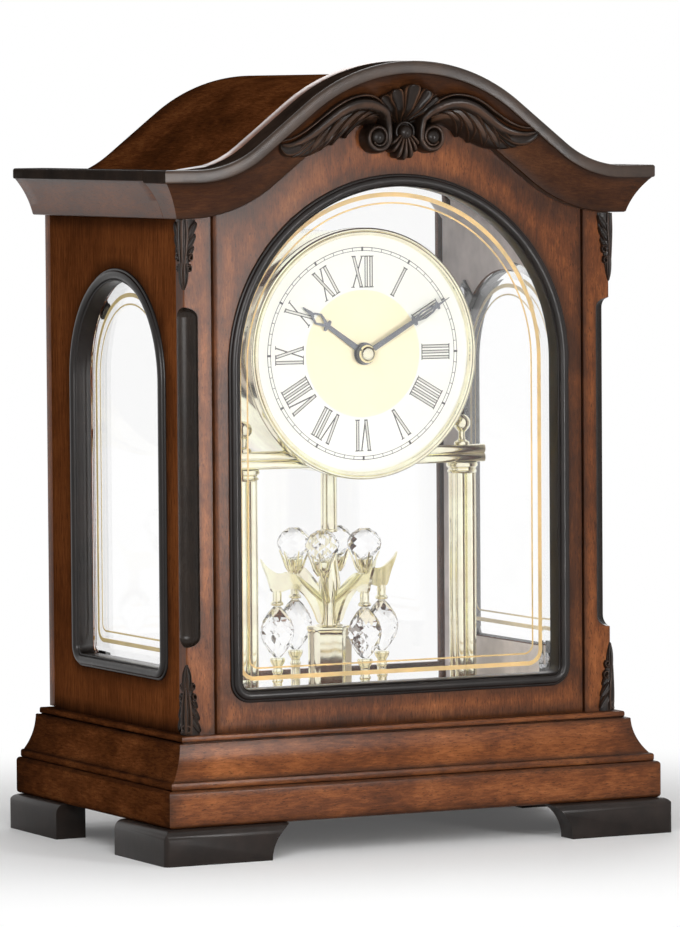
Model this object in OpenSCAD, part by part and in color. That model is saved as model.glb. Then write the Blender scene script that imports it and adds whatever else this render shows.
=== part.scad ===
/* [Case] */
// Height of the clock from the floor to the crown
total_h = 317.5; // [300:0.5:340]
// Width of the case between the outer faces of the side panels
case_w = 193.4; // [188:0.1:205]
// Depth of the case from the front face to the back plane
case_d = 134.9; // [128:0.1:145]
// Thickness of the side panels
panel_t = 9.7; // [8:0.1:11]
// Thickness of the front panel and the corner stiles
front_t = 6.8; // [6:0.1:8]
// Width of each corner stile on the front
stile_w = 12.1; // [11:0.1:14]
// Width of the groove between the front panel and a stile
groove_w = 1.2; // [0.8:0.1:2]
// Radius of the stopped flute on each front corner
flute_r = 6.2; // [4:0.1:6.4]
// Bare length of corner below the flute
flute_low = 35; // [32:0.5:45]
// Bare length of corner above the flute
flute_high = 35; // [32:0.5:45]
// Thickness of the bent roof
roof_t = 4.6; // [3.5:0.1:5.5]
// How far the roof lies under the top line of the cornice
roof_drop = 4.9; // [4:0.1:6]

/* [Base] */
// Height of the feet
foot_h = 14.4; // [11:0.1:20]
// How far the feet stand out from the case
foot_out = 18.7; // [17:0.1:22]
// Wall thickness of a bracket foot at the front or back
foot_wall = 10; // [8:0.1:12]
// Wall thickness of a bracket foot along the side
foot_side_wall = 13.2; // [11:0.1:15]
// Length of a front foot along the front
foot_front_len = 56; // [45:0.5:65]
// Length of a foot along the side
foot_side_len = 48.2; // [40:0.1:54]
// Length of a rear foot along the back
foot_back_len = 36; // [30:0.5:50]
// How far the hollow end of a foot sweeps in towards the floor
foot_sweep = 8.9; // [5:0.1:10]
// Radius of the rounding along a foot's top edge
foot_round = 3.8; // [2:0.1:5]
// Thickness of the base board
board_t = 15; // [12:0.1:18]
// How far the base board stands out from the case
board_out = 15; // [14:0.1:17]
// Height of the base moulding
mould_h = 20.3; // [17:0.1:24]
// How far the base moulding stands out from the case
mould_out = 13; // [12:0.1:14]
// How far the base moulding reaches in under the case
mould_in = 12; // [11:0.1:16]
// Thickness of the floor board
floor_t = 7.3; // [6:0.1:9]

/* [Cornice] */
// How far the cornice stands out from the case
cornice_out = 14; // [12:0.1:16]
// Height of the cornice moulding
cornice_h = 19.4; // [17:0.1:22]
// Rise of the crown over the flat ends
crown_rise = 42.8; // [38:0.1:46]
// Radius of the crown's top arc
crown_r = 78; // [76:0.5:84]
// Slope of the crown between its arcs, in degrees
crown_slope = 38; // [36:0.5:39]
// Thickness of the front top fillet
front_fillet = 5.2; // [4:0.1:6]
// Thickness of the side top fillet
side_fillet = 4.4; // [3.5:0.1:5.5]

/* [Windows] */
// Distance from the side of the case to the front window's black moulding
win_side = 19.4; // [17.6:0.1:24]
// Height of the lower edge of the front window moulding
win_z0 = 61.5; // [60:0.1:66]
// How far the top of the front window moulding lies below the crown
win_drop = 45.4; // [42:0.1:55]
// Half width of a side window over its black moulding
side_half = 45.3; // [42:0.1:46]
// Middle of a side window, back from the part's middle
side_mid = 4.3; // [3:0.1:6]
// Height of the lower edge of a side window moulding
side_z0 = 69.7; // [67:0.1:74]
// How far the top of a side window moulding lies below the top of the cornice
side_drop = 40.2; // [37:0.1:48]
// Width of the black window moulding
trim_w = 5.2; // [4.6:0.1:6]
// How far the black moulding stands proud
trim_proud = 2.3; // [1.8:0.1:3]
// Thickness of the moulding's lip inside the window
trim_lip = 1.2; // [1:0.1:1.6]
// Outer radius of the moulding's lower corners
trim_corner = 8.5; // [7.5:0.1:10]
// Thickness of the glass
glass_t = 2.5; // [2:0.1:3]
// Depth of the side glasses in their windows
side_recess = 6; // [5:0.1:6.2]

/* [Back door] */
// Thickness of the back door
door_t = 5.8; // [5:0.1:7]
// Width of the door's frame
door_frame_w = 10; // [9:0.1:11]
// Width of the door's top rail
door_top_w = 6; // [5:0.1:7]
// Gap around the door
door_gap = 0.5; // [0.3:0.1:0.8]
// Radius of the door's pivot pins
pivot_r = 1.2; // [1:0.05:1.4]
// Thickness of the door's glass
door_glass_t = 2; // [1.5:0.1:2.5]

/* [Dial] */
// Height of the centre of the dial
dial_z = 198.4; // [194:0.1:202]
// Distance of the dial's face in front of the part's middle
dial_front = 24; // [22:0.1:26]
// Outer radius of the bezel
bezel_r = 51.5; // [50:0.1:53]
// Inner radius of the bezel
bezel_in = 48.4; // [47:0.1:49]
// Depth of the bezel
bezel_d = 6.5; // [5:0.1:8]
// Thickness of the dial
dial_t = 1; // [0.8:0.1:1.5]
// Outer radius of the drum behind the dial
drum_r = 50; // [48:0.1:51]
// Depth of the drum
drum_d = 46; // [42:0.5:50]
// Wall thickness of the drum
drum_wall = 1.6; // [1.2:0.1:2.5]
// Thickness of the drum's back
drum_back_t = 2.5; // [2:0.1:3.5]
// Length of the minute hand
minute_len = 44.5; // [40:0.5:46]
// Length of the hour hand
hour_len = 34; // [30:0.5:36]

/* [Movement] */
// Module of the minute pinion and the wheel that it drives
fast_module = 0.5; // [0.4:0.02:0.6]
// Radius of the minute arbor
arbor_r = 1; // [0.8:0.05:1.2]
// Outer radius of the hour tube
hour_tube_r = 2.4; // [2.2:0.1:2.6]
// Radial running clearance of shafts and tubes
run_gap = 0.06; // [0.03:0.01:0.09]
// Radius of the setting knob
knob_r = 6; // [5:0.1:7]
// Radius of the battery cell
cell_r = 13.1; // [7:0.1:13.2]
// Length of the battery cell
cell_len = 49; // [40:0.5:50]

/* [Columns] */
// Distance of each column from the middle
col_x = 50.3; // [46:0.1:54]
// Distance of the columns in front of the part's middle
col_y = 15; // [13:0.1:17]
// Radius of one tube in a column
tube_r = 2.4; // [2:0.1:2.8]
// Radius of the ring under a column
col_base_r = 7.6; // [6.5:0.1:9]
// Height of the underside of the cross bars
bar_z = 152; // [150:0.1:154]
// Height of a cross bar
bar_h = 7.2; // [6:0.1:8]
// Depth of a cross bar
bar_d = 6; // [5:0.1:7]
// How far a cross bar runs past its column
bar_past = 9; // [7:0.1:11]
// Radius of the finial balls
ball_r = 3.6; // [3:0.1:4.2]
// Thickness of the brass floor plate
plate_t = 1.5; // [1:0.1:2]

/* [Pendulum] */
// Distance of the pendulum's axis behind the part's middle
pend_y = 8; // [6:0.1:10]
// Radius of the suspension tube
hang_r = 3.6; // [3:0.1:4.2]
// Height of the lower end of the suspension tube over the wing tips
hang_over = 9.5; // [8:0.5:14]
// Radius of the wing tips
wing_r = 34.2; // [30:0.1:36]
// Height of the wing tips
wing_z = 114; // [111:0.5:117]
// Thickness of a wing
wing_t = 1.4; // [1:0.1:2]
// Radius on which the lower crystals stand
low_orbit = 26; // [24:0.1:28]
// Radius of a lower crystal
low_r = 7.1; // [6:0.1:8]
// Height of a lower crystal
low_h = 21; // [18:0.5:22]
// Height of the lower tip of the lower crystals
low_z = 72.8; // [72:0.1:75]
// Radius on which the upper crystals stand
high_orbit = 14.8; // [13.5:0.1:16]
// Radius of an upper crystal
high_r = 7.3; // [6:0.1:8]
// Height of an upper crystal
high_h = 12.8; // [11:0.1:14]
// Height of the seat of the upper crystals
high_z = 112.4; // [111:0.1:114]
// Radius of the hexagonal cup
cup_r = 9.4; // [8:0.1:10.5]
// Gap under the revolving pendulum
floor_gap = 1.5; // [1:0.1:2.5]

/* [Hidden] */
$fn = 64;

// Overall places: the back plane is flush, the feet stand out in front
overall_d = case_d + foot_out;
back_y = overall_d / 2;
front_y = back_y - case_d;
half_w = case_w / 2;
seam_y = front_y + front_t;
inner_x = half_w - panel_t;
win_half = half_w - win_side;
win_top = total_h - win_drop;
body_z = foot_h + board_t + mould_h;
mould_z = foot_h + board_t;
floor_z = body_z + floor_t;
plate_z = floor_z + plate_t;
hang_z = wing_z + hang_over;
flat_z = total_h - crown_rise;
side_top = flat_z - side_drop;
panel_end = back_y - door_t - 0.3;

// Crown line: a top arc, a straight slope and a hollow sweep down to the flat end
crown_half = half_w - 0.2;
crown_sin = sin(crown_slope);
crown_cos = cos(crown_slope);
crown_tan = tan(crown_slope);
sweep_r = (crown_r * (1 - crown_cos) + (crown_half - crown_r * crown_sin) * crown_tan - crown_rise)
    / (crown_sin * crown_tan - (1 - crown_cos));
crown_steps = 9;
sweep_steps = 6;
function crown_right(drop) = concat(
    [for (i = [0:crown_steps]) let (a = crown_slope * i / crown_steps)
        [(crown_r - drop) * sin(a), total_h - crown_r + (crown_r - drop) * cos(a)]],
    [for (i = [0:sweep_steps]) let (a = crown_slope * (1 - i / sweep_steps))
        [crown_half - (sweep_r + drop) * sin(a), flat_z + sweep_r - (sweep_r + drop) * cos(a)]]);
function crown_line(drop) = let (r = crown_right(drop), n = len(r))
    concat([for (i = [n - 1:-1:1]) [-r[i][0], r[i][1]]], r);

// Curve from a to b that bows sideways by s, in n steps
function bow(a, b, s, n) = let (d = b - a, m = [-d[1], d[0]] / norm(d))
    [for (i = [0:n]) let (t = i / n) a + d * t + m * (4 * s * t * (1 - t))];
function flat_list(rows) = [for (row = rows) for (p = row) p];
function spin(p, a) = [p[0] * cos(a) - p[1] * sin(a), p[0] * sin(a) + p[1] * cos(a)];

// Six times the volume of a skin whose faces run anticlockwise seen from outside
function total(v) = v * [for (x = v) 1];
function skin_volume(points, faces) = total([for (f = faces) for (i = [1:len(f) - 2])
    points[f[0]] * cross(points[f[i]], points[f[i + 1]])]);
function turned(faces) = [for (f = faces) [for (i = [len(f) - 1:-1:0]) f[i]]];
module skin(points, faces) {
    polyhedron(points = points, faces = skin_volume(points, faces) < 0 ? faces : turned(faces));
}
// Closed skin through a row of rings of equal count, capped at both ends
module loft(rings) {
    n = len(rings[0]);
    m = len(rings);
    skin(flat_list(rings), concat([[for (i = [0:n - 1]) i]], [[for (i = [n - 1:-1:0]) (m - 1) * n + i]],
        [for (k = [0:m - 2]) for (i = [0:n - 1]) let (j = (i + 1) % n)
            [k * n + j, k * n + i, (k + 1) * n + i, (k + 1) * n + j]]));
}
// Closed skin through a ring of rings
module loft_loop(rings) {
    n = len(rings[0]);
    m = len(rings);
    skin(flat_list(rings), [for (k = [0:m - 1]) for (i = [0:n - 1]) let (j = (i + 1) % n, q = (k + 1) % m)
        [k * n + j, k * n + i, q * n + i, q * n + j]]);
}
// Slab of a drawing in X and Z, between two depths
module slab_y(y0, y1) { translate([0, y1, 0]) rotate([90, 0, 0]) linear_extrude(y1 - y0) children(); }
// Slab of a drawing in Y and Z, between two widths
module slab_x(x0, x1) { translate([x0, 0, 0]) rotate([90, 0, 90]) linear_extrude(x1 - x0) children(); }
module block(lo, hi) { translate(lo) cube(hi - lo); }
// Cylinder along Y
module rod_y(x, z, y0, y1, r) { translate([x, y1, z]) rotate([90, 0, 0]) cylinder(h = y1 - y0, r = r); }

// Outline of an arched window, moved out by o, with rounded lower corners
arch_steps = 24;
corner_steps = 4;
function arch_loop(half, z0, top, r, o) = concat(
    [for (i = [0:corner_steps]) let (a = 180 + 90 * i / corner_steps)
        [-half + r + (r + o) * cos(a), z0 + r + (r + o) * sin(a)]],
    [for (i = [0:corner_steps]) let (a = 270 + 90 * i / corner_steps)
        [half - r + (r + o) * cos(a), z0 + r + (r + o) * sin(a)]],
    [for (i = [0:arch_steps]) let (a = 180 * i / arch_steps)
        [(half + o) * cos(a), top - half + (half + o) * sin(a)]]);
// Section of the black moulding: half round on the face, with a lip down the window's edge
trim_round = 6;
function trim_section(depth) = concat(
    [for (i = [0:trim_round]) let (a = 180 * i / trim_round)
        [-trim_w / 2 + trim_w / 2 * cos(a), trim_proud * sin(a)]],
    [[-trim_w, -depth], [-trim_w + trim_lip, -depth], [-trim_w + trim_lip, 0]]);
function transpose(rows) = [for (i = [0:len(rows[0]) - 1]) [for (row = rows) row[i]]];
// Rings of a window moulding: one ring for each point of the outline
function trim_rings(half, z0, top, depth) = transpose(
    [for (s = trim_section(depth)) [for (p = arch_loop(half, z0, top, trim_corner, s[0])) [p[0], p[1], s[1]]]]);
hole_in = trim_w - trim_lip;

// Base
hollow_r = (foot_h * foot_h + foot_sweep * foot_sweep) / (2 * foot_sweep);
hollow_angle = asin(foot_h / hollow_r);
hollow_steps = 8;
module foot_end(len) {
    polygon(concat([[0, 0], [0, foot_h]], [for (i = [hollow_steps:-1:0]) let (a = hollow_angle * i / hollow_steps)
        [len - foot_sweep + hollow_r * (1 - cos(a)), hollow_r * sin(a)]]));
}
// Room under the rounded top edge of a foot's outer faces
round_steps = 5;
module foot_room(reach) {
    hull() {
        cube([reach, reach, foot_h - foot_round]);
        for (i = [1:round_steps]) let (a = 90 * i / round_steps, in = foot_round * (1 - cos(a)))
            translate([in, in, 0]) cube([reach, reach, foot_h - foot_round * (1 - sin(a))]);
    }
}
module foot(front_len, side_len) {
    difference() {
        intersection() {
            union() {
                translate([0, foot_wall, 0]) rotate([90, 0, 0]) linear_extrude(foot_wall) foot_end(front_len);
                cube([foot_side_wall, side_len, foot_h]);
            }
            foot_room(front_len + side_len);
        }
        translate([-1, -1, -1]) difference() {
            cube([3, 3, foot_h + 2]);
            translate([3, 3, 0]) cylinder(h = foot_h + 2, r = 2);
        }
    }
}
foot_x = half_w + foot_out;
foot_color = [0.1, 0.08, 0.07];
module front_left_foot() { color(foot_color) translate([-foot_x, -back_y, 0]) foot(foot_front_len, foot_side_len); }
module front_right_foot() { color(foot_color) mirror([1, 0, 0]) front_left_foot(); }
module rear_left_foot() {
    color(foot_color) translate([-foot_x, back_y, 0]) mirror([0, 1, 0]) foot(foot_back_len, foot_side_len);
}
module rear_right_foot() { color(foot_color) mirror([1, 0, 0]) rear_left_foot(); }
wood = [0.45, 0.2, 0.1];
board_edge = 1.6;
module board_layer(inset, z, h) {
    block([-half_w - board_out + inset, front_y - board_out + inset, z], [half_w + board_out - inset, back_y, z + h]);
}
module base_board() {
    color(wood) hull() {
        board_layer(0, foot_h + board_edge, board_t - 2 * board_edge);
        board_layer(board_edge, foot_h, board_t);
    }
}
mid_fillet = 3.2;
cap_fillet = 2.4;
cap_out = 4.2;
cove_out = 6;
groove_in = 3.4;
mould_section = concat([[-mould_in, 0], [mould_out, 0], [mould_out, mid_fillet]],
    bow([mould_out - 1.4, mid_fillet], [cove_out, mould_h - cap_fillet - 0.4], -1.3, 8),
    [[groove_in, mould_h - cap_fillet - 0.4], [groove_in, mould_h - cap_fillet], [cap_out, mould_h - cap_fillet],
        [cap_out, mould_h], [-mould_in, mould_h]]);
function mould_ring(sx, y, dy) = [for (s = mould_section) [sx * (half_w + s[0]), y + dy * s[0], mould_z + s[1]]];
module base_mouldings() {
    color(wood) difference() {
        union() {
            loft([mould_ring(-1, back_y, 0), mould_ring(-1, front_y, -1), mould_ring(1, front_y, -1),
                mould_ring(1, back_y, 0)]);
            block([-half_w + mould_in, back_y - mould_in, mould_z], [half_w - mould_in, back_y, body_z]);
        }
        translate([pivot_x, pivot_y, pivot_z0]) cylinder(h = 20, r = pivot_r + run_gap);
    }
}
module floor_board() {
    color(wood) block([-inner_x, seam_y, body_z], [inner_x, panel_end, floor_z]);
}

// Case
panel_top = flat_z - roof_drop - roof_t;
module side_panel() {
    difference() {
        block([-half_w, seam_y, body_z], [-inner_x, panel_end, panel_top]);
        translate([0, side_mid, 0]) slab_x(-half_w - 1, -inner_x + 1)
            polygon(arch_loop(side_half, side_z0, side_top, trim_corner, -hole_in));
        side_places() clip_pilot();
    }
}
module left_side_panel() { color(wood) side_panel(); }
// The right side is the left one turned round
module right_side() { translate([0, seam_y + panel_end, 0]) rotate([0, 0, 180]) children(); }
module both_walls() { children(); right_side() children(); }
module right_side_panel() { color(wood) right_side() side_panel(); }
front_outline = concat([[-half_w, body_z]], [[-half_w, flat_z]], crown_line(0), [[half_w, flat_z], [half_w, body_z]]);
panel_half = half_w - stile_w;
module front_sheet(x0, x1) {
    intersection() {
        slab_y(front_y, seam_y) polygon(front_outline);
        block([x0, front_y - 1, 0], [x1, seam_y + 1, total_h + 1]);
    }
}
groove_d = 3;
groove_top = flat_z - cornice_h + 2;
module front_panel() {
    color(wood) difference() {
        front_sheet(-panel_half, panel_half);
        slab_y(front_y - 1, seam_y + 1) polygon(arch_loop(win_half, win_z0, win_top, trim_corner, -hole_in));
        for (s = [-1, 1])
            block([s * panel_half - groove_w, front_y - 1, 0], [s * panel_half + groove_w, front_y + groove_d, groove_top]);
        both_sides() front_places() clip_pilot();
    }
}
flute_z0 = body_z + flute_low;
flute_z1 = flat_z - cornice_h - flute_high;
flute_end = 4.4;
module flute() {
    translate([0, 0, flute_z0 + flute_end]) cylinder(h = flute_z1 - flute_z0 - 2 * flute_end, r = flute_r);
    for (e = [[flute_z0 + flute_end, -1], [flute_z1 - flute_end, 1]])
        translate([0, 0, e[0]]) rotate_extrude()
            polygon(concat([[0, 0]], [for (i = [0:6]) let (a = 15 * i)
                [flute_r * cos(a), e[1] * flute_end * sin(a)]]));
}
module corner_stile() {
    difference() {
        front_sheet(-half_w, -panel_half);
        translate([-half_w, front_y, 0]) flute();
    }
}
module left_corner_stile() { color(wood) corner_stile(); }
module right_corner_stile() { color(wood) mirror([1, 0, 0]) corner_stile(); }

// Cornice: sections run from the case outwards and down from the top line
cove_foot = 5.2;
edge_r = 0.9;
function cornice_section(fillet) = concat(
    [[0, 0], [cornice_out - edge_r, 0], [cornice_out, edge_r], [cornice_out, fillet - edge_r],
        [cornice_out - edge_r, fillet]],
    bow([cornice_out - edge_r - 0.2, fillet + 0.2], [cove_foot, cornice_h - 0.3], 0.95, 7),
    [[cove_foot - 0.6, cornice_h], [0, cornice_h]]);
function cornice_side_ring(sx, y, dy, fillet) =
    [for (s = cornice_section(fillet)) [sx * (half_w + s[0]), y + dy * s[0], flat_z - s[1]]];
module front_cornice() {
    section = cornice_section(front_fillet);
    lines = transpose([for (s = section) [for (p = crown_line(s[1])) [p[0], front_y - s[0], p[1]]]]);
    color(wood) loft(concat([cornice_side_ring(-1, seam_y, 0, front_fillet), cornice_side_ring(-1, front_y, -1, front_fillet)],
        lines, [cornice_side_ring(1, front_y, -1, front_fillet), cornice_side_ring(1, seam_y, 0, front_fillet)]));
}
module side_cornice() {
    loft([cornice_side_ring(-1, back_y, 0, side_fillet), cornice_side_ring(-1, seam_y, 0, side_fillet)]);
}
module side_cornices() { color(wood) { side_cornice(); mirror([1, 0, 0]) side_cornice(); } }
function closed_band(upper, lower) = concat(upper, [for (i = [len(lower) - 1:-1:0]) lower[i]]);
function ended(line, x) = concat([[-x, line[0][1]]], line, [[x, line[0][1]]]);
pivot_x = half_w - door_gap - door_t / 2;
pivot_y = back_y - door_t / 2;
pivot_z0 = body_z - 6;
pivot_z1 = panel_top + 3.4;
module roof_shell() {
    color(wood) difference() {
        slab_y(seam_y, back_y) polygon(closed_band(ended(crown_line(roof_drop), half_w),
            ended(crown_line(roof_drop + roof_t), half_w)));
        translate([pivot_x, pivot_y, panel_top - 1]) cylinder(h = pivot_z1 - panel_top + 1, r = pivot_r + run_gap);
    }
}
batten_low = 14.6;
batten_z = panel_top - batten_low;
batten_w = 16.5;
module roof_batten() {
    intersection() {
        slab_y(seam_y, panel_end) polygon([[-inner_x, batten_z], [-inner_x, flat_z], [-inner_x + batten_w, flat_z + 20],
            [-inner_x + batten_w, batten_z + 20]]);
        slab_y(seam_y, panel_end) polygon(concat([[-half_w, 0]], [[-half_w, panel_top]],
            crown_line(roof_drop + roof_t), [[half_w, 0]]));
    }
}
module roof_battens() { color(wood) { roof_batten(); mirror([1, 0, 0]) roof_batten(); } }

// Windows: black mouldings, glass, and the clips that hold the glass from inside
black = [0.08, 0.07, 0.07];
clear = [0.8, 0.9, 0.9, 0.4];
module front_window_moulding() {
    color(black) translate([0, front_y, 0]) rotate([90, 0, 0])
        loft_loop(trim_rings(win_half, win_z0, win_top, front_t));
}
module side_trim() {
    translate([-half_w, side_mid, 0]) mirror([1, 0, 0]) rotate([90, 0, 90])
        loft_loop(trim_rings(side_half, side_z0, side_top, side_recess));
}
module side_window_mouldings() { color(black) both_walls() side_trim(); }
glass_play = 0.2;
glass_lap = 3;
module front_glass() {
    color(clear) slab_y(seam_y, seam_y + glass_t)
        polygon(arch_loop(win_half, win_z0, win_top, trim_corner, -hole_in + glass_lap));
}
module side_glass() {
    translate([0, side_mid, 0]) slab_x(-half_w + side_recess, -half_w + side_recess + glass_t)
        polygon(arch_loop(side_half, side_z0, side_top, trim_corner, -hole_in - glass_play));
}
module left_glass() { color(clear) side_glass(); }
module right_glass() { color(clear) right_side() side_glass(); }
clip_t = 1.2;
clip_w = 7;
clip_long = 8.5;
front_clip_long = 7.4;
clip_lap = 2.4;
clip_screw_at = 4.6;
clip_screw_r = 1;
head_r = 2.3;
head_t = 1;
screw_len = 3.5;
side_step = panel_t - side_recess - glass_t;
// The plate of a clip stands off its seat by rise, and its tongue reaches down by step
module clip(step, rise, long) {
    difference() {
        union() {
            block([-rise - clip_t, -clip_lap, -clip_w / 2], [-rise, long, clip_w / 2]);
            if (step > 0) block([-0.01, -clip_lap, -clip_w / 2], [step, -0.5, clip_w / 2]);
            if (rise > 0) block([-rise - 0.01, 0.5, -clip_w / 2], [0, long, clip_w / 2]);
        }
        translate([-rise - clip_t - 1, clip_screw_at, 0]) rotate([0, 90, 0])
            cylinder(h = rise + clip_t + 2, r = clip_screw_r + run_gap);
    }
}
module clip_screw(rise) {
    translate([-rise - clip_t - head_t, clip_screw_at, 0]) rotate([0, 90, 0]) cylinder(h = head_t, r = head_r);
    translate([-rise - clip_t - head_t / 2, clip_screw_at, 0]) rotate([0, 90, 0])
        cylinder(h = rise + clip_t + head_t / 2 + screw_len, r = clip_screw_r);
}
module clip_pilot() {
    translate([-1, clip_screw_at, 0]) rotate([0, 90, 0]) cylinder(h = screw_len + 1.3, r = clip_screw_r + run_gap);
}
side_edge = side_half - hole_in;
side_arch_z = side_top - side_half;
side_clips = [for (a = [42, 138]) [side_mid + side_edge * cos(a), side_arch_z + side_edge * sin(a), a]];
low_clip_in = 11;
side_low_clips = [for (s = [-1, 1]) [side_mid + s * (side_half - low_clip_in), side_z0 + hole_in, -90]];
module side_places() {
    for (c = concat(side_clips, side_low_clips))
        translate([-inner_x, c[0], c[1]]) mirror([1, 0, 0]) rotate([c[2], 0, 0]) children();
}
front_clip_at = [0.24, 0.59];
module front_places() {
    for (k = front_clip_at) translate([win_half - hole_in + glass_lap, seam_y, win_z0 + k * (win_top - win_z0)])
        rotate([0, 0, -90]) children();
}
module both_sides() { children(); mirror([1, 0, 0]) children(); }
module glass_clips() {
    color(black) {
        both_walls() side_places() clip(side_step, 0, clip_long);
        both_sides() front_places() clip(0, glass_t, front_clip_long);
    }
}
module clip_screws() {
    color([0.8, 0.8, 0.78]) {
        both_walls() side_places() clip_screw(0);
        both_sides() front_places() clip_screw(glass_t);
    }
}

// Carvings on the front
crest_drop = 28.6;
crest_z = total_h - crest_drop;
shell_r = 10.2;
shell_up = 7.2;
lobe_r = 3.3;
lobe_out = 1.4;
arm_x = 57.5;
crest_d = 9.5;
arm_d = 7;
fan_r = 11.2;
volute_r = 5.4;
volute_x = 12;
volute_low = 1.8;
module crest_slab(depth) { slab_y(front_y - depth, front_y) children(); }
// The arm is drawn for a reach of 57.5 and scaled to arm_x
arm_line = [[11, -4], [12, 6.5], [18, 10.6], [26, 9.2], [35, 5.2], [43.5, 1], [52, -1.8], [57.5, -3], [54, -5.4],
    [48, -7.2], [42, -6.6], [36, -4.2], [31, -4.6], [25, -3.6], [19, -1.2], [15, -5]];
module crest_blank() {
    crest_slab(crest_d) translate([0, crest_z + shell_up]) {
        circle(r = shell_r - lobe_out);
        for (a = [-68, -34, 0, 34, 68]) rotate(a) translate([0, shell_r - lobe_r + lobe_out]) circle(r = lobe_r);
    }
    crest_slab(crest_d * 0.84) translate([0, crest_z]) scale(fan_r / 11.2)
        polygon([[-9, 0], [9, 0], [5.2, -9.2], [0, -11.2], [-5.2, -9.2]]);
    both_sides() {
        crest_slab(crest_d * 0.9) translate([volute_x, crest_z - volute_low]) circle(r = volute_r);
        crest_slab(arm_d) translate([0, crest_z]) scale(arm_x / 57.5) polygon(arm_line);
    }
}
module crest_carving() {
    color(black) difference() {
        crest_blank();
        front_cornice();
    }
}
carve_out = 1.9;
function carve_ring(z, w) = [[-half_w, front_y, z], [-half_w, front_y + w, z], [-half_w - carve_out, front_y + w - 0.8, z],
    [-half_w - carve_out, front_y, z], [-half_w - carve_out * 0.7, front_y - carve_out * 0.7, z],
    [-half_w, front_y - carve_out, z], [-half_w + w - 0.8, front_y - carve_out, z], [-half_w + w, front_y, z]];
carve_h = 28.4;
carve_w = 8;
module upper_carving() {
    z1 = flat_z - cornice_h;
    loft([carve_ring(z1, carve_w * 0.92), carve_ring(z1 - carve_h * 0.3, carve_w * 0.8),
        carve_ring(z1 - carve_h * 0.75, carve_w * 0.62), carve_ring(z1 - carve_h, carve_w * 0.25)]);
}
module lower_carving() {
    loft([carve_ring(body_z, carve_w), carve_ring(body_z + carve_h * 0.25, carve_w * 0.82),
        carve_ring(body_z + carve_h * 0.7, carve_w * 0.62), carve_ring(body_z + carve_h, carve_w * 0.25)]);
}
module upper_corner_carvings() { color(black) both_sides() upper_carving(); }
module lower_corner_carvings() { color(black) both_sides() lower_carving(); }

// Back door, hung on two pivot pins
door_half = half_w - door_gap;
door_z0 = body_z + door_gap;
door_drop = roof_drop + roof_t + door_gap;
door_y = back_y - door_t;
hole_x = door_half - door_frame_w;
glass_seat = 2.5;
pin_in = 6;
module door_opening(o, y0, y1) {
    intersection() {
        slab_y(y0, y1) polygon(concat([[-door_half, 0]], crown_line(door_drop + door_top_w - o), [[door_half, 0]]));
        block([-hole_x - o, y0 - 1, door_z0 + door_frame_w - o], [hole_x + o, y1 + 1, total_h]);
    }
}
module pivot(z0, z1, r) { translate([pivot_x, pivot_y, z0]) cylinder(h = z1 - z0, r = r); }
edge_z = flat_z - door_drop - 0.1;
pull_z = dial_z - 40;
pull_x = -door_half + door_frame_w / 2;
pull_r = 3;
module back_door_frame() {
    color(wood) difference() {
        union() {
            intersection() {
                slab_y(door_y, back_y) polygon(concat([[-door_half, door_z0]], [[-door_half, edge_z]],
                    crown_line(door_drop), [[door_half, edge_z], [door_half, door_z0]]));
                block([-door_half, door_y - 1, 0], [pivot_x, back_y + 1, total_h]);
            }
            pivot(door_z0, edge_z, door_t / 2);
        }
        door_opening(0, door_y - 1, back_y + 1);
        door_opening(glass_seat, door_y - 1, door_y + 1 + door_glass_t);
        pivot(door_z0 - 1, body_z + pin_in + 0.3, pivot_r + run_gap);
        pivot(panel_top - pin_in - 0.3, total_h, pivot_r + run_gap);
        rod_y(pull_x, pull_z, back_y - 3.2, back_y + 1, pull_r + 1.2);
    }
}
module back_door_glass() { color(clear) door_opening(glass_seat - 0.2, door_y + 1, door_y + 1 + door_glass_t); }
module door_pivot_pins() {
    color([0.8, 0.65, 0.3]) {
        pivot(pivot_z0, body_z + pin_in, pivot_r);
        pivot(panel_top - pin_in, pivot_z1, pivot_r);
    }
}
module door_pull() {
    color([0.8, 0.65, 0.3]) {
        rod_y(pull_x, pull_z, back_y - 3.2, back_y - 1.4, 1.6);
        rod_y(pull_x, pull_z, back_y - 1.8, back_y, pull_r);
    }
}
module door_magnet() {
    color([0.3, 0.3, 0.32]) block([-inner_x, panel_end - 8, pull_z - 9], [-inner_x + 6, panel_end, pull_z + 9]);
}

// Floor plate and columns
brass = [0.85, 0.68, 0.32];
plate_gap = 0.5;
module mirror_plate() {
    color(brass) block([-inner_x + plate_gap, seam_y + plate_gap, floor_z], [inner_x - plate_gap, panel_end - 6, plate_z]);
}
cap_h = 3.8;
base_ring_h = 5;
module column() {
    translate([col_x, -col_y, 0]) {
        translate([0, 0, plate_z]) cylinder(h = base_ring_h, r = col_base_r);
        for (a = [0, 90, 180, 270]) rotate([0, 0, a]) translate([tube_r - 0.05, tube_r - 0.05, plate_z + 1])
            cylinder(h = bar_z - plate_z - 2, r = tube_r);
        translate([0, 0, bar_z - cap_h]) cylinder(h = cap_h, r = col_base_r - 1.1);
    }
}
module right_column() { color(brass) column(); }
module left_column() { color(brass) mirror([1, 0, 0]) column(); }
ball_z = bar_z + bar_h + 9;
module finial() {
    translate([col_x, -col_y, 0]) rotate_extrude() polygon(concat([[0, bar_z + bar_h], [3.2, bar_z + bar_h],
        [3.2, bar_z + bar_h + 1.4], [1.5, bar_z + bar_h + 2.6], [1.3, ball_z - ball_r + 0.6]],
        [for (i = [1:11]) let (a = -75 + 15 * i) [ball_r * cos(a), ball_z + ball_r * sin(a)]], [[0, ball_z + ball_r]]));
}
module column_finials() { color(brass) both_sides() finial(); }
drum_y0 = -dial_front + dial_t;
drum_y1 = drum_y0 + drum_d;
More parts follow.
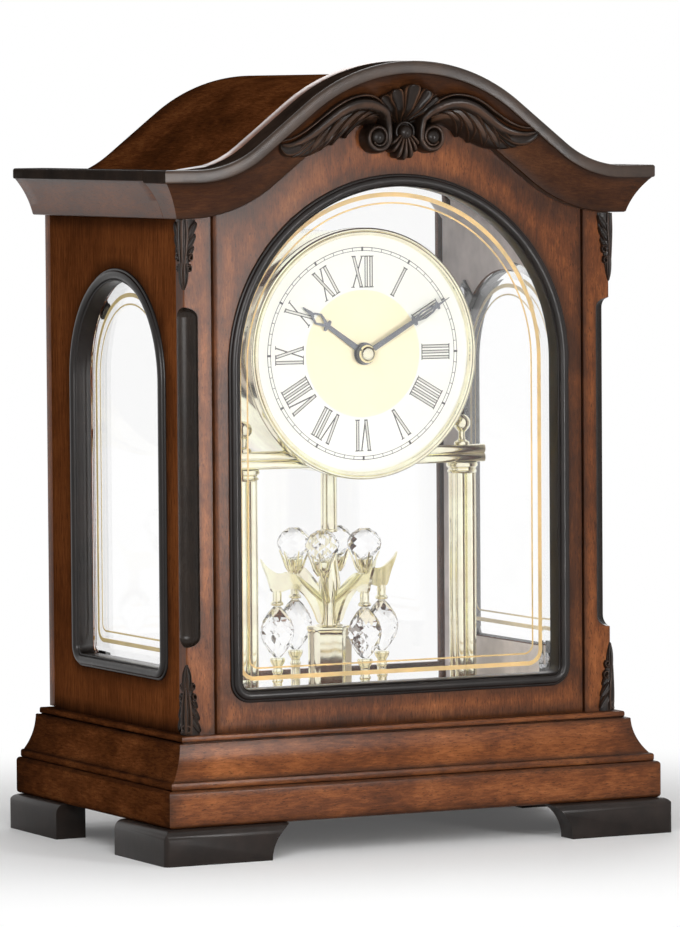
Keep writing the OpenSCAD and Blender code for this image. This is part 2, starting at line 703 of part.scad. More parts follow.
bar_section = [for (k = [0, 1]) for (i = [0:6]) let (a = -90 + 30 * i)
    [-bar_d / 2 - bar_h / 4 * cos(a) * 0.6, bar_h * (0.25 + 0.5 * k) + bar_h / 4 * sin(a)]];
module cross_bar() {
    difference() {
        translate([0, -col_y, bar_z]) slab_x(10, col_x + bar_past)
            polygon(concat([for (i = [len(bar_section) - 1:-1:0]) bar_section[i]], [[bar_d / 2, 0], [bar_d / 2, bar_h]]));
        rod_y(0, dial_z, -col_y - 20, -col_y + 20, drum_r + 0.1);
    }
}
module cross_bars() { color(brass) both_sides() cross_bar(); }

// Dial, drum and movement
bezel_y = -dial_front - 2.5;
module ring_y(y0, y1, r1, r0) {
    difference() {
        rod_y(0, dial_z, y0, y1, r1);
        rod_y(0, dial_z, y0 - 1, y1 + 1, r0);
    }
}
bezel_profile = [[bezel_in, 0.8], [bezel_in + 0.5, 0.2], [bezel_in + 1.3, 0], [bezel_r - 1, 0.4], [bezel_r, 1.6],
    [bezel_r, bezel_d], [drum_r + 0.1, bezel_d], [drum_r + 0.1, 2.5], [bezel_in, 2.5]];
module bezel() {
    color(brass) translate([0, bezel_y, dial_z]) rotate([-90, 0, 0]) rotate_extrude() polygon(bezel_profile);
}
module dial() { color([0.95, 0.92, 0.82]) ring_y(-dial_front, drum_y0, drum_r, hour_tube_r + 0.4); }
grille = [[0, 0], [4.5, 0], [-4.5, 0], [0, 4.5], [0, -4.5]];
speaker_x = -26;
speaker_low = 8;
speaker_z = dial_z - speaker_low;
speaker_r = 12;
speaker_d = 6;
knob_x = 17;
knob_low = 33;
knob_z = dial_z - knob_low;
slot_w = 3.2;
slot_len = 10.4;
back_in = drum_y1;
back_out = drum_y1 + drum_back_t;
module dial_drum() {
    color([0.75, 0.6, 0.3]) difference() {
        ring_y(drum_y0, drum_y1, drum_r, drum_r - drum_wall);
        translate([0, pend_y, dial_z - drum_r - 2]) cylinder(h = drum_r, r = hang_r + 0.1);
    }
}
cell_z = dial_z + 22;
cell_y = back_in - cell_r - 1.6;
door_w = cell_len + 3;
cover_z0 = cell_z - cell_r - 0.6;
cover_z1 = cell_z + cell_r + 0.6;
cover_pin_r = 0.7;
cover_pin_z = cover_z0 + 1.5;
cover_pin_y = back_in + drum_back_t / 2;
shelf_t = 1.6;
module drum_back() {
    color([0.15, 0.15, 0.15]) difference() {
        union() {
            rod_y(0, dial_z, back_in, back_out, drum_r);
            block([-door_w / 2 - 1, cell_y + 4, cover_z0 - shelf_t], [door_w / 2 + 1, back_in + 0.1, cell_z - cell_r]);
            for (s = [-1, 1]) block([s * (cell_len / 2 + 0.8) - 0.8, cell_y + 2, cover_z0 - shelf_t],
                [s * (cell_len / 2 + 0.8) + 0.8, back_in + 0.1, cell_z + 4]);
        }
        block([-door_w / 2, back_in + 0.1, cover_z0], [door_w / 2, back_out + 1, cover_z1]);
        block([-cell_len / 2, back_in - 0.1, cell_z - cell_r + 0.1], [cell_len / 2, back_out + 1, cover_z1]);
        translate([-door_w / 2 - 1.2, cover_pin_y, cover_pin_z]) rotate([0, 90, 0])
            cylinder(h = door_w + 2.4, r = cover_pin_r + run_gap);
        for (g = grille) rod_y(speaker_x + g[0], speaker_z + g[1], back_in - 1, back_out + 1, 1.4);
        rod_y(knob_x, knob_z, back_in - 1, back_out + 1, 1.5 + run_gap);
        rod_y(0, idler_z, back_in - 1, back_out + 1, arbor_r + run_gap);
        block([-knob_x - slot_len / 2, back_in - 1, knob_z - slot_w / 2], [-knob_x + slot_len / 2, back_out + 1, knob_z + slot_w / 2]);
    }
}
module battery_cover() {
    t = drum_back_t - 0.3;
    y0 = back_out - t;
    color([0.2, 0.2, 0.2]) {
        block([-door_w / 2 + 0.3, y0, cover_pin_z], [door_w / 2 - 0.3, back_out, cover_z1 - 0.3]);
        translate([-door_w / 2 + 0.3, cover_pin_y, cover_pin_z]) rotate([0, 90, 0])
            cylinder(h = door_w - 0.6, r = drum_back_t / 2 - 0.15);
        translate([-door_w / 2 - 1, cover_pin_y, cover_pin_z]) rotate([0, 90, 0]) cylinder(h = door_w + 2, r = cover_pin_r);
    }
}
module battery() {
    color([0.8, 0.5, 0.2]) translate([-cell_len / 2, cell_y, cell_z]) rotate([0, 90, 0]) {
        cylinder(h = cell_len - 1.5, r = cell_r);
        cylinder(h = cell_len, r = 3.2);
    }
}
case_half = 28;
case_wall = 1.5;
case_y0 = drum_y0;
plate_y = case_y0 + 14.5;
case_y1 = plate_y + case_wall;
module movement_case() {
    color([0.1, 0.1, 0.11]) difference() {
        block([-case_half, case_y0, dial_z - case_half], [case_half, plate_y, dial_z + case_half]);
        block([-case_half + case_wall, case_y0 + case_wall, dial_z - case_half + case_wall],
            [case_half - case_wall, plate_y + 1, dial_z + case_half - case_wall]);
        rod_y(0, dial_z, case_y0 - 1, plate_y, hour_tube_r + run_gap);
        rod_y(0, idler_z, case_y0 - 1, plate_y, arbor_r + run_gap);
    }
}
module movement_plate() {
    color([0.1, 0.1, 0.11]) difference() {
        block([-case_half, plate_y, dial_z - case_half], [case_half, case_y1, dial_z + case_half]);
        rod_y(0, dial_z, plate_y - 1, case_y1 + 1, arbor_r + run_gap);
        rod_y(0, idler_z, plate_y - 1, case_y1 + 1, arbor_r + run_gap);
    }
}
board_half = 25;
module circuit_board() {
    color([0.05, 0.3, 0.15]) difference() {
        block([-board_half, case_y1, dial_z - board_half], [board_half, case_y1 + 1.6, dial_z + board_half - 22]);
        rod_y(0, idler_z, case_y1 - 1, case_y1 + 3, arbor_r + 0.8);
    }
}
module speaker() {
    color([0.2, 0.2, 0.2]) {
        rod_y(speaker_x, speaker_z, back_in - 2, back_in, speaker_r);
        rod_y(speaker_x, speaker_z, back_in - speaker_d, back_in - 1.9, speaker_r * 0.55);
    }
}
motor_half = 8.5;
flange_z = dial_z - drum_r + drum_wall + 0.6;
flange_t = 1.5;
motor_z = flange_z + flange_t;
rod_r = 1.2;
module pendulum_motor() {
    color([0.12, 0.12, 0.12]) difference() {
        block([-motor_half, pend_y - motor_half, motor_z], [motor_half, pend_y + motor_half, motor_z + 16]);
        translate([0, pend_y, motor_z - 1]) cylinder(h = 8, r = rod_r + run_gap);
    }
}
module suspension_tube() {
    color(brass) translate([0, pend_y, 0]) difference() {
        union() {
            translate([0, 0, hang_z]) cylinder(h = motor_z - hang_z, r = hang_r);
            translate([0, 0, flange_z]) cylinder(h = flange_t, r = hang_r + 1.6);
        }
        translate([0, 0, hang_z - 1]) cylinder(h = 60, r = rod_r + run_gap);
    }
}

// Motion work: the minute arbor drives the idler, the idler drives the hour wheel
idler_ratio = 3;
hour_ratio = 4;
pinion_teeth = 12;
small_teeth = 10;
gear_gap = fast_module * pinion_teeth * (1 + idler_ratio) / 2;
slow_module = 2 * gear_gap / (small_teeth * (1 + hour_ratio));
idler_z = dial_z - gear_gap;
function gear(n, m) = [for (i = [0:n - 1]) for (q = [[-1.2, -0.3], [0.85, -0.1], [0.85, 0.1], [-1.2, 0.3]])
    let (r = m * (n / 2 + q[0]), a = 360 / n * (i + q[1])) [r * cos(a), r * sin(a)]];
module wheel_y(z, y0, y1, turn) { translate([0, 0, z]) slab_y(y0, y1) rotate(turn) children(); }
hour_angle = 305;
minute_angle = 60;
hour_y = -dial_front - 1.6;
minute_y = hour_y - 1.6;
hand_t = 0.6;
tube_y = hour_y - 0.2;
wheel_y0 = case_y0 + case_wall + 0.6;
module hour_wheel() {
    color([0.8, 0.7, 0.4]) difference() {
        union() {
            wheel_y(dial_z, wheel_y0, wheel_y0 + 1.2, 0) polygon(gear(small_teeth * hour_ratio, slow_module));
            rod_y(0, dial_z, tube_y, wheel_y0 + 0.5, hour_tube_r);
        }
        rod_y(0, dial_z, tube_y - 1, wheel_y0 + 3, arbor_r + run_gap);
    }
}
module minute_arbor() {
    color([0.75, 0.75, 0.75]) {
        rod_y(0, dial_z, minute_y - 2, plate_y + 1.2, arbor_r);
        wheel_y(dial_z, wheel_y0 + 1.9, wheel_y0 + 3.9, 0) polygon(gear(pinion_teeth, fast_module));
    }
}
module idler_wheel() {
    color([0.8, 0.7, 0.4]) {
        rod_y(0, idler_z, case_y0 + 0.3, back_out + 5.2, arbor_r);
        wheel_y(idler_z, wheel_y0 - 0.1, wheel_y0 + 2.3, 0) polygon(gear(small_teeth, slow_module));
        wheel_y(idler_z, wheel_y0 + 2.2, wheel_y0 + 3.4, 5) polygon(gear(pinion_teeth * idler_ratio, fast_module));
    }
}
module setting_knob() {
    color([0.1, 0.1, 0.1]) difference() {
        rod_y(0, idler_z, back_out + 0.4, back_out + 7, knob_r);
        rod_y(0, idler_z, back_out, back_out + 5.2, arbor_r);
    }
}
function hand_half(len, w, spade) = [[1, 3], [w / 2, 6], [w / 2, len * 0.5], [spade * 0.55, len * 0.52],
    [w / 2, len * 0.56], [spade, len * 0.68], [spade * 0.86, len * 0.76], [w * 0.7, len * 0.84], [0.25, len]];
function mirrored(h) = concat(h, [for (i = [len(h) - 1:-1:0]) [-h[i][0], h[i][1]]]);
module hand_shape(len, w, spade, hub, bore) {
    difference() {
        union() {
            polygon(mirrored(hand_half(len, w, spade)));
            circle(r = hub);
        }
        circle(r = bore);
        polygon(mirrored([[0.2, len * 0.6], [spade * 0.62, len * 0.68], [spade * 0.5, len * 0.75], [0.2, len * 0.8]]));
    }
}
module hour_hand() {
    color([0.15, 0.15, 0.17]) translate([0, 0, dial_z]) rotate([0, hour_angle, 0]) slab_y(hour_y, hour_y + hand_t)
        hand_shape(hour_len, 1.8, 4.4, 4.6, hour_tube_r);
}
module minute_hand() {
    color([0.15, 0.15, 0.17]) translate([0, 0, dial_z]) rotate([0, minute_angle, 0]) slab_y(minute_y, minute_y + hand_t)
        hand_shape(minute_len, 1.6, 3.4, 4.2, arbor_r);
}
hub_cap_r = 3.9;
module hand_cap() {
    color(brass) translate([0, minute_y, dial_z]) rotate([90, 0, 0]) difference() {
        rotate_extrude() polygon(concat([[0, 0], [hub_cap_r - 0.1, 0]], [for (i = [1:6]) let (a = 15 * i)
            [hub_cap_r * cos(a), 0.9 + 3 * sin(a)]]));
        translate([0, 0, -1]) cylinder(h = 3, r = arbor_r);
    }
}
module melody_switch() {
    x0 = -knob_x - slot_len / 2 + 0.2;
    color([0.85, 0.85, 0.85]) {
        block([x0, back_in - 0.5, knob_z - slot_w / 2 + 0.1], [x0 + 4, back_out + 1.8, knob_z + slot_w / 2 - 0.1]);
        block([x0 - 0.8, back_in - 1.5, knob_z - slot_w / 2 - 1], [x0 + 4.8, back_in - 0.3, knob_z + slot_w / 2 + 1]);
    }
}
module volume_knob() {
    color([0.1, 0.1, 0.1]) {
        rod_y(knob_x, knob_z, back_in - 2, back_out + 1, 1.5);
        rod_y(knob_x, knob_z, back_in - 2, back_in - 0.3, 2.8);
        rod_y(knob_x, knob_z, back_out + 0.3, back_out + 4.5, 4.6);
    }
}

// Revolving pendulum: four wings over four crystals, four small crystals between them
pend_turn = 7;
pend_z0 = plate_z + floor_gap;
low_top = low_z + low_h;
module wing() {
    rotate([90, 0, 0]) translate([0, 0, -wing_t / 2]) linear_extrude(wing_t) polygon(concat(
        [[2, wing_z - 24]], bow([3.5, wing_z - 22], [low_orbit * 0.62, wing_z - 11.5], 1.8, 5),
        bow([low_orbit * 0.66, wing_z - 11.3], [low_orbit - 2.6, wing_z - 13.5], 1.2, 4),
        [[low_orbit - 2, low_top + 2], [low_orbit + 2, low_top + 2], [low_orbit + 2.6, wing_z - 13.5]],
        bow([low_orbit + 4.4, wing_z - 9.5], [wing_r, wing_z], -0.5, 4),
        bow([wing_r - 1.2, wing_z], [wing_r - 9, wing_z - 6.2], -0.9, 4),
        bow([wing_r - 12, wing_z - 6.9], [5, wing_z - 12], 1.4, 5), [[2, wing_z - 12.5]]));
}
module cup_arm() {
    rotate([90, 0, 0]) translate([0, 0, -0.7]) linear_extrude(1.4) polygon([[2, wing_z - 19], [high_orbit - 3, high_z - 5],
        [high_orbit + 1.4, high_z - 5], [high_orbit + 1, high_z - 6.4], [high_orbit - 2, high_z - 7], [2, wing_z - 22]]);
}
module pendulum_frame() {
    color(brass) translate([0, pend_y, 0]) rotate([0, 0, pend_turn]) {
        translate([0, 0, pend_z0 + 2]) cylinder(h = motor_z + 5 - pend_z0, r = rod_r);
        translate([0, 0, 0]) rotate_extrude() polygon([[0, pend_z0 + 22], [4.2, pend_z0 + 22], [3.4, wing_z - 26],
            [4.6, wing_z - 20], [4.6, wing_z - 11], [3.4, wing_z], [hang_r - 0.6, hang_z - 3], [hang_r - 0.6, hang_z - 0.5],
            [0, hang_z - 0.5]]);
        translate([0, 0, pend_z0]) cylinder(h = 24.5, r = cup_r, $fn = 6);
        for (a = [0, 90, 180, 270]) rotate([0, 0, a]) {
            wing();
            translate([low_orbit, 0, low_top]) cylinder(h = 6.5, r = 1.9);
            translate([low_orbit, 0, pend_z0]) cylinder(h = low_z - pend_z0, r = 2);
            translate([low_orbit, 0, pend_z0]) cylinder(h = 1.8, r = 4.8);
            translate([low_orbit, 0, low_z - 3]) cylinder(h = 1.2, r = 2.7);
            block([cup_r * 0.7, -1.5, pend_z0], [low_orbit, 1.5, pend_z0 + 1.5]);
        }
        for (a = [45, 135, 225, 315]) rotate([0, 0, a]) {
            cup_arm();
            translate([high_orbit, 0, high_z - 5]) cylinder(h = 5, r1 = 2, r2 = 3.6);
        }
    }
}
function crystal(z0, h, r, tip) = [[0, z0], [tip, z0], [r * 0.72, z0 + h * 0.2], [r, z0 + h * 0.42], [r, z0 + h * 0.58],
    [r * 0.72, z0 + h * 0.8], [tip, z0 + h], [0, z0 + h]];
module crystals(start, orbit, z0, h, r, tip) {
    color(clear) translate([0, pend_y, 0]) rotate([0, 0, pend_turn]) for (a = [0, 90, 180, 270])
        rotate([0, 0, a + start]) translate([orbit, 0, 0]) rotate_extrude($fn = 8) polygon(crystal(z0, h, r, tip));
}
module upper_crystals() { crystals(45, high_orbit, high_z, high_h, high_r, 3); }
module lower_crystals() { crystals(0, low_orbit, low_z, low_h, low_r, 2); }

base_board();
base_mouldings();
front_left_foot();
front_right_foot();
rear_left_foot();
rear_right_foot();
floor_board();
left_side_panel();
right_side_panel();
front_panel();
left_corner_stile();
right_corner_stile();
front_cornice();
side_cornices();
roof_shell();
roof_battens();
front_window_moulding();
side_window_mouldings();
front_glass();
left_glass();
right_glass();
crest_carving();
upper_corner_carvings();
lower_corner_carvings();
glass_clips();
clip_screws();
door_magnet();
mirror_plate();
left_column();
right_column();
column_finials();
cross_bars();
bezel();
dial();
dial_drum();
drum_back();
movement_case();
movement_plate();
circuit_board();
speaker();
pendulum_motor();
suspension_tube();
battery();
back_door_frame();
back_door_glass();
door_pivot_pins();
door_pull();
hour_wheel();
hour_hand();
minute_arbor();
minute_hand();
hand_cap();
idler_wheel();
setting_knob();
battery_cover();
melody_switch();
volume_knob();
pendulum_frame();
upper_crystals();
lower_crystals();
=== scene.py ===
import bpy
import bmesh
import numpy as np
from math import acos, cos, pi, radians, sin, sqrt, tan
from mathutils import Matrix, Vector
from mathutils.geometry import tessellate_polygon


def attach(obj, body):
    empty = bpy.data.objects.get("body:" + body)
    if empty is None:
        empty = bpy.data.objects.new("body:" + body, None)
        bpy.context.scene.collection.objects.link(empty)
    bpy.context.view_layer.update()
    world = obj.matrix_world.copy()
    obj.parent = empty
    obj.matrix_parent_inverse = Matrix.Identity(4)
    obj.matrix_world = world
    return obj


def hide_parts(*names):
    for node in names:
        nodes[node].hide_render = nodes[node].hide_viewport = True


# Chiming mantel clock: walnut case with an arched front window, dial on brass columns,
# revolving crystal pendulum. Lengths below are millimetres in the frame of the solids.
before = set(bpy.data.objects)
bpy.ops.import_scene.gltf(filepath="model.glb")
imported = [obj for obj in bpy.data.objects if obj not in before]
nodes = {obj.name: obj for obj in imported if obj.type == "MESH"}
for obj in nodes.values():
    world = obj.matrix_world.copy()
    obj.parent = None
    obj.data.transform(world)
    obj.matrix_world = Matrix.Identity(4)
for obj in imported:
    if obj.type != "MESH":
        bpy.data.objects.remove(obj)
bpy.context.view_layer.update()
MM = 0.001

# Sizes of the case
TOTAL_H = 317.5
HALF_W = 96.7
BACK_Y = 76.8
FRONT_Y = -58.1
SEAM_Y = -51.3
INNER_X = 87.0
PANEL_HALF = 84.6
MOULD_Z = 29.4
BODY_Z = 49.7
FLAT_Z = 274.7
CORNICE_OUT = 14.0
CORNICE_H = 19.4
CROWN_R = 78.0
CROWN_SLOPE = radians(38)
CROWN_HALF = 96.5
SWEEP_R = ((CROWN_R * (1 - cos(CROWN_SLOPE)) + (CROWN_HALF - CROWN_R * sin(CROWN_SLOPE)) * tan(CROWN_SLOPE)
            - (TOTAL_H - FLAT_Z)) / (sin(CROWN_SLOPE) * tan(CROWN_SLOPE) - (1 - cos(CROWN_SLOPE))))
WIN_HALF, WIN_Z0, WIN_TOP = 77.3, 61.5, 272.1
SIDE_HALF, SIDE_Z0, SIDE_TOP = 45.3, 69.7, 234.5
# The right side is the left one turned round, so its window sits further back
SIDE_MIDS = {-1: 4.3, 1: 15.1}
TRIM_W, TRIM_CORNER, HOLE_IN = 5.2, 8.5, 4.0
DIAL_Z, DIAL_Y = 198.4, -24.0
COL_X, COL_Y = 50.3, -15.0
PEND_Y, PEND_TURN = 8.0, radians(7)


def crown_line(drop, top_steps=26, sweep_steps=18):
    """Crown in X and Z, moved down by drop: sweep, slope, top arc, slope and sweep, left to right."""
    right = []
    for i in range(top_steps + 1):
        a = CROWN_SLOPE * i / top_steps
        right.append(((CROWN_R - drop) * sin(a), TOTAL_H - CROWN_R + (CROWN_R - drop) * cos(a)))
    for i in range(sweep_steps + 1):
        a = CROWN_SLOPE * (1 - i / sweep_steps)
        right.append((CROWN_HALF - (SWEEP_R + drop) * sin(a), FLAT_Z + SWEEP_R - (SWEEP_R + drop) * cos(a)))
    return [(-x, z) for x, z in reversed(right[1:])] + right


def arch_line(half, z0, top, corner, out, arch_steps=72, corner_steps=8):
    """Outline of an arched window moved out by out, with rounded lower corners."""
    line = []
    for i in range(corner_steps + 1):
        a = pi + pi / 2 * i / corner_steps
        line.append((-half + corner + (corner + out) * cos(a), z0 + corner + (corner + out) * sin(a)))
    for i in range(corner_steps + 1):
        a = 1.5 * pi + pi / 2 * i / corner_steps
        line.append((half - corner + (corner + out) * cos(a), z0 + corner + (corner + out) * sin(a)))
    for i in range(arch_steps + 1):
        a = pi * i / arch_steps
        line.append(((half + out) * cos(a), top - half + (half + out) * sin(a)))
    return line


# Making meshes
class Form:
    """Points, faces, finish of each face and a value per point, in millimetres: dark glaze and painted shade on wood
    pieces, ridges on carvings.
    """

    def __init__(self):
        self.points, self.faces, self.finish, self.glaze = [], [], [], []

    def add(self, part, finish=0, glaze=0.0):
        points, faces = part
        first = len(self.points)
        self.points += [tuple(p) for p in points]
        self.faces += [[first + i for i in f] for f in faces]
        self.finish += [finish] * len(faces)
        self.glaze += list(glaze) if hasattr(glaze, "__len__") else [glaze] * len(points)
        return self


def loft(rings, row_closed=False, ring_closed=True, caps=True):
    """Skin through rings of equal count."""
    n, m = len(rings[0]), len(rings)
    points = [p for ring in rings for p in ring]
    faces = []
    for k in range(m if row_closed else m - 1):
        q = (k + 1) % m
        for i in range(n if ring_closed else n - 1):
            j = (i + 1) % n
            faces.append([k * n + i, k * n + j, q * n + j, q * n + i])
    if caps and not row_closed:
        faces.append(list(range(n)))
        faces.append([(m - 1) * n + i for i in reversed(range(n))])
    return points, faces


def turned(profile, middle, axis="Z", steps=64, closed=False, phase=0.0):
    """Lathe work: profile rows are radius and height along the axis; closed joins the last row to the first."""
    rings = []
    for r, h in profile:
        r = max(r, 1e-4)
        ring = []
        for i in range(steps):
            a = phase + 2 * pi * i / steps
            u, v = r * cos(a), r * sin(a)
            if axis == "Z":
                ring.append((middle[0] + u, middle[1] + v, middle[2] + h))
            elif axis == "Y":
                ring.append((middle[0] + u, middle[1] + h, middle[2] + v))
            else:
                ring.append((middle[0] + h, middle[1] + u, middle[2] + v))
        rings.append(ring)
    return loft(rings, row_closed=closed)


def spline(points, per=6):
    """Smooth curve through the points, which may hold any number of values each."""
    pts = [np.array(p, float) for p in points]
    pts = [2 * pts[0] - pts[1]] + pts + [2 * pts[-1] - pts[-2]]
    line = []
    for k in range(1, len(pts) - 2):
        a, b, c, d = pts[k - 1:k + 3]
        for i in range(per):
            t = i / per
            line.append(0.5 * (2 * b + (c - a) * t + (2 * a - 5 * b + 4 * c - d) * t ** 2
                               + (3 * b - a - 3 * c + d) * t ** 3))
    line.append(pts[-2])
    return line


def rod(path, radii, steps=12, flat=1.0):
    """Round rod along a path of points in three dimensions; flat squeezes it across the view."""
    pts = [Vector(p) for p in path]
    radii = radii if hasattr(radii, "__len__") else [radii] * len(pts)
    side = None
    rings = []
    for k, p in enumerate(pts):
        t = (pts[min(k + 1, len(pts) - 1)] - pts[max(k - 1, 0)]).normalized()
        if side is None:
            side = t.orthogonal().normalized()
        side = (side - t * side.dot(t)).normalized()
        up = t.cross(side)
        rings.append([tuple(p + (side * cos(2 * pi * i / steps) + up * sin(2 * pi * i / steps) * flat) * radii[k])
                      for i in range(steps)])
    return loft(rings)


def block(low, high):
    x0, y0, z0 = low
    x1, y1, z1 = high
    return loft([[(x0, y0, z), (x1, y0, z), (x1, y1, z), (x0, y1, z)] for z in (z0, z1)])


def plate(outlines, lift):
    """Flat sheet with holes: the first outline is the rim. lift turns a point of the drawing and a side into space."""
    flat = [Vector((x, z, 0)) for line in outlines for x, z in line]
    triangles = tessellate_polygon([[Vector((x, z, 0)) for x, z in line] for line in outlines])
    n = len(flat)
    points = [lift(p.x, p.y, 0) for p in flat] + [lift(p.x, p.y, 1) for p in flat]
    faces = [list(t) for t in triangles] + [[n + i for i in reversed(t)] for t in triangles]
    first = 0
    for line in outlines:
        for i in range(len(line)):
            j = (i + 1) % len(line)
            faces.append([first + i, first + j, n + first + j, n + first + i])
        first += len(line)
    return points, faces


def ring_of(line, y):
    return [(x, y, z) for x, z in line]


def settle(bm, weld=0.002):
    bmesh.ops.remove_doubles(bm, verts=bm.verts, dist=weld * MM)
    bmesh.ops.dissolve_degenerate(bm, edges=bm.edges, dist=1e-7)
    bmesh.ops.recalc_face_normals(bm, faces=bm.faces)


def stand(name, mesh, finishes, body, stands_for, crease):
    """Gives a mesh its finishes and shading, and sets it on its body."""
    if not mesh.materials:
        for f in finishes:
            mesh.materials.append(f)
    mesh.shade_smooth()
    mesh.set_sharp_from_angle(angle=radians(crease))
    piece = bpy.data.objects.new(name, mesh)
    bpy.context.scene.collection.objects.link(piece)
    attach(piece, body)
    if stands_for:
        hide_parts(*stands_for)
    return piece


def make(name, form, finishes, body="case", stands_for=(), crease=32, weld=0.002):
    mesh = bpy.data.meshes.new(name)
    mesh.from_pydata([Vector(p) * MM for p in form.points], [], form.faces)
    mesh.polygons.foreach_set("material_index", form.finish)
    shade = mesh.attributes.new("glaze", "FLOAT", "POINT")
    shade.data.foreach_set("value", np.array(form.glaze, np.float32))
    bm = bmesh.new()
    bm.from_mesh(mesh)
    settle(bm, weld)
    bm.to_mesh(mesh)
    bm.free()
    return stand(name, mesh, finishes, body, stands_for, crease)


def softened(node, width=0.4, crease=28, cuts=(), segments=2):
    """Copy of a solid with its arrises eased, cut into finer faces along the given axes."""
    bm = bmesh.new()
    bm.from_mesh(nodes[node].data)
    bmesh.ops.remove_doubles(bm, verts=bm.verts, dist=2e-6)
    bmesh.ops.dissolve_limit(bm, angle_limit=radians(0.6), verts=bm.verts, edges=bm.edges)
    if width:
        edges = [e for e in bm.edges if len(e.link_faces) == 2 and e.calc_face_angle(0) > radians(crease)]
        bmesh.ops.bevel(bm, geom=edges, offset=width * MM, offset_type="OFFSET", segments=segments,
            profile=0.5,
                        affect="EDGES", clamp_overlap=True)
    for axis, step in cuts:
        along = Vector([1.0 if k == axis else 0.0 for k in range(3)])
        values = [v.co[axis] for v in bm.verts]
        low, high = min(values), max(values)
        count = max(1, int((high - low) / (step * MM)))
        for i in range(1, count):
            at = along * (low + (high - low) * i / count)
            bmesh.ops.bisect_plane(bm, geom=bm.verts[:] + bm.edges[:] + bm.faces[:], plane_co=at,
                plane_no=along)
    bmesh.ops.recalc_face_normals(bm, faces=bm.faces)
    return bm


def ease(name, node, finishes, body="case", width=0.4, crease=28, cuts=(), segments=2):
    bm = softened(node, width, crease, cuts, segments)
    mesh = bpy.data.meshes.new(name)
    bm.to_mesh(mesh)
    bm.free()
    return stand(name, mesh, finishes, body, (node,), 34)


def darken(piece, *groups):
    """Writes dark glaze and painted shade into the piece's glaze attribute: groups hold lines, reach and strength."""
    mesh = piece.data
    co = np.zeros(len(mesh.vertices) * 3)
    mesh.vertices.foreach_get("co", co)
    co = co.reshape(-1, 3) / MM
    dark = np.zeros(len(co))
    for lines, reach, strength in groups:
        best = np.full(len(co), 1e9)
        for line in lines:
            for a, b in zip(line[:-1], line[1:]):
                a, b = np.array(a, float), np.array(b, float)
                d = b - a
                t = np.clip((co - a) @ d / max(d @ d, 1e-9), 0, 1)
                best = np.minimum(best, np.linalg.norm(co - (a + t[:, None] * d), axis=1))
        v = np.clip(1 - best / reach, 0, 1)
        dark = np.maximum(dark, v * v * (3 - 2 * v) * strength)
    shade = mesh.attributes.get("glaze") or mesh.attributes.new("glaze", "FLOAT", "POINT")
    shade.data.foreach_set("value", dark.astype(np.float32))


def relief(axis, halves, heights, back, shape="round", across=10, seat=None, sink=0.4):
    """Carved leaf or rib over the XZ plane: axis of points, half widths and heights in front of back.
    seat gives how far the ground under the carving stands out at a point; sink is how deep its back goes."""
    rings, ridge = [], []
    n = len(axis)
    for k in range(n):
        a = np.array(axis[max(k - 1, 0)][:2], float)
        b = np.array(axis[min(k + 1, n - 1)][:2], float)
        t = (b - a) / max(np.linalg.norm(b - a), 1e-9)
        normal = np.array([-t[1], t[0]])
        c = np.array(axis[k][:2], float)
        ring = []
        for i in range(across + 1):
            u = -1 + 2 * i / across
            if shape == "round":
                f = sqrt(max(0.0, 1 - u * u)) * 0.75 + 0.25 * (1 - abs(u) ** 6)
            else:
                f = (0.62 + 0.38 * min(1.0, abs(u) / 0.72) ** 2) * (1 - max(0.0,
                    (abs(u) - 0.72) / 0.28) ** 2)
            p = c + normal * halves[k] * u
            under = seat(p[0], p[1]) if seat else 0.0
            ring.append((p[0], back - under - heights[k] * f, p[1]))
            # ridge marks the crest of the leaf; the carving finish paints it lighter: worn lacquer and a painted
            # highlight.
            ridge.append(max(0.0, f - 0.9) * 10 if shape == "dish" else max(0.0, f - 0.93) * 6)
        p1, p0 = c + normal * halves[k], c - normal * halves[k]
        ring += [(p1[0], back + sink, p1[1]), (p0[0], back + sink, p0[1])]
        ridge += [0.0, 0.0]
        rings.append(ring)
    return loft(rings), ridge


# Finishes
def srgb(r, g, b):
    return tuple(((c / 255 + 0.055) / 1.055) ** 2.4 if c > 10 else c / 255 / 12.92 for c in (r, g,
        b)) + (1.0,)


def tones(color, low, high):
    """Stops of a ramp from a darker to a lighter tone of one colour."""
    return [(0.0, srgb(*[c * low for c in color])), (1.0, srgb(*[min(255, c * high) for c in color]))]


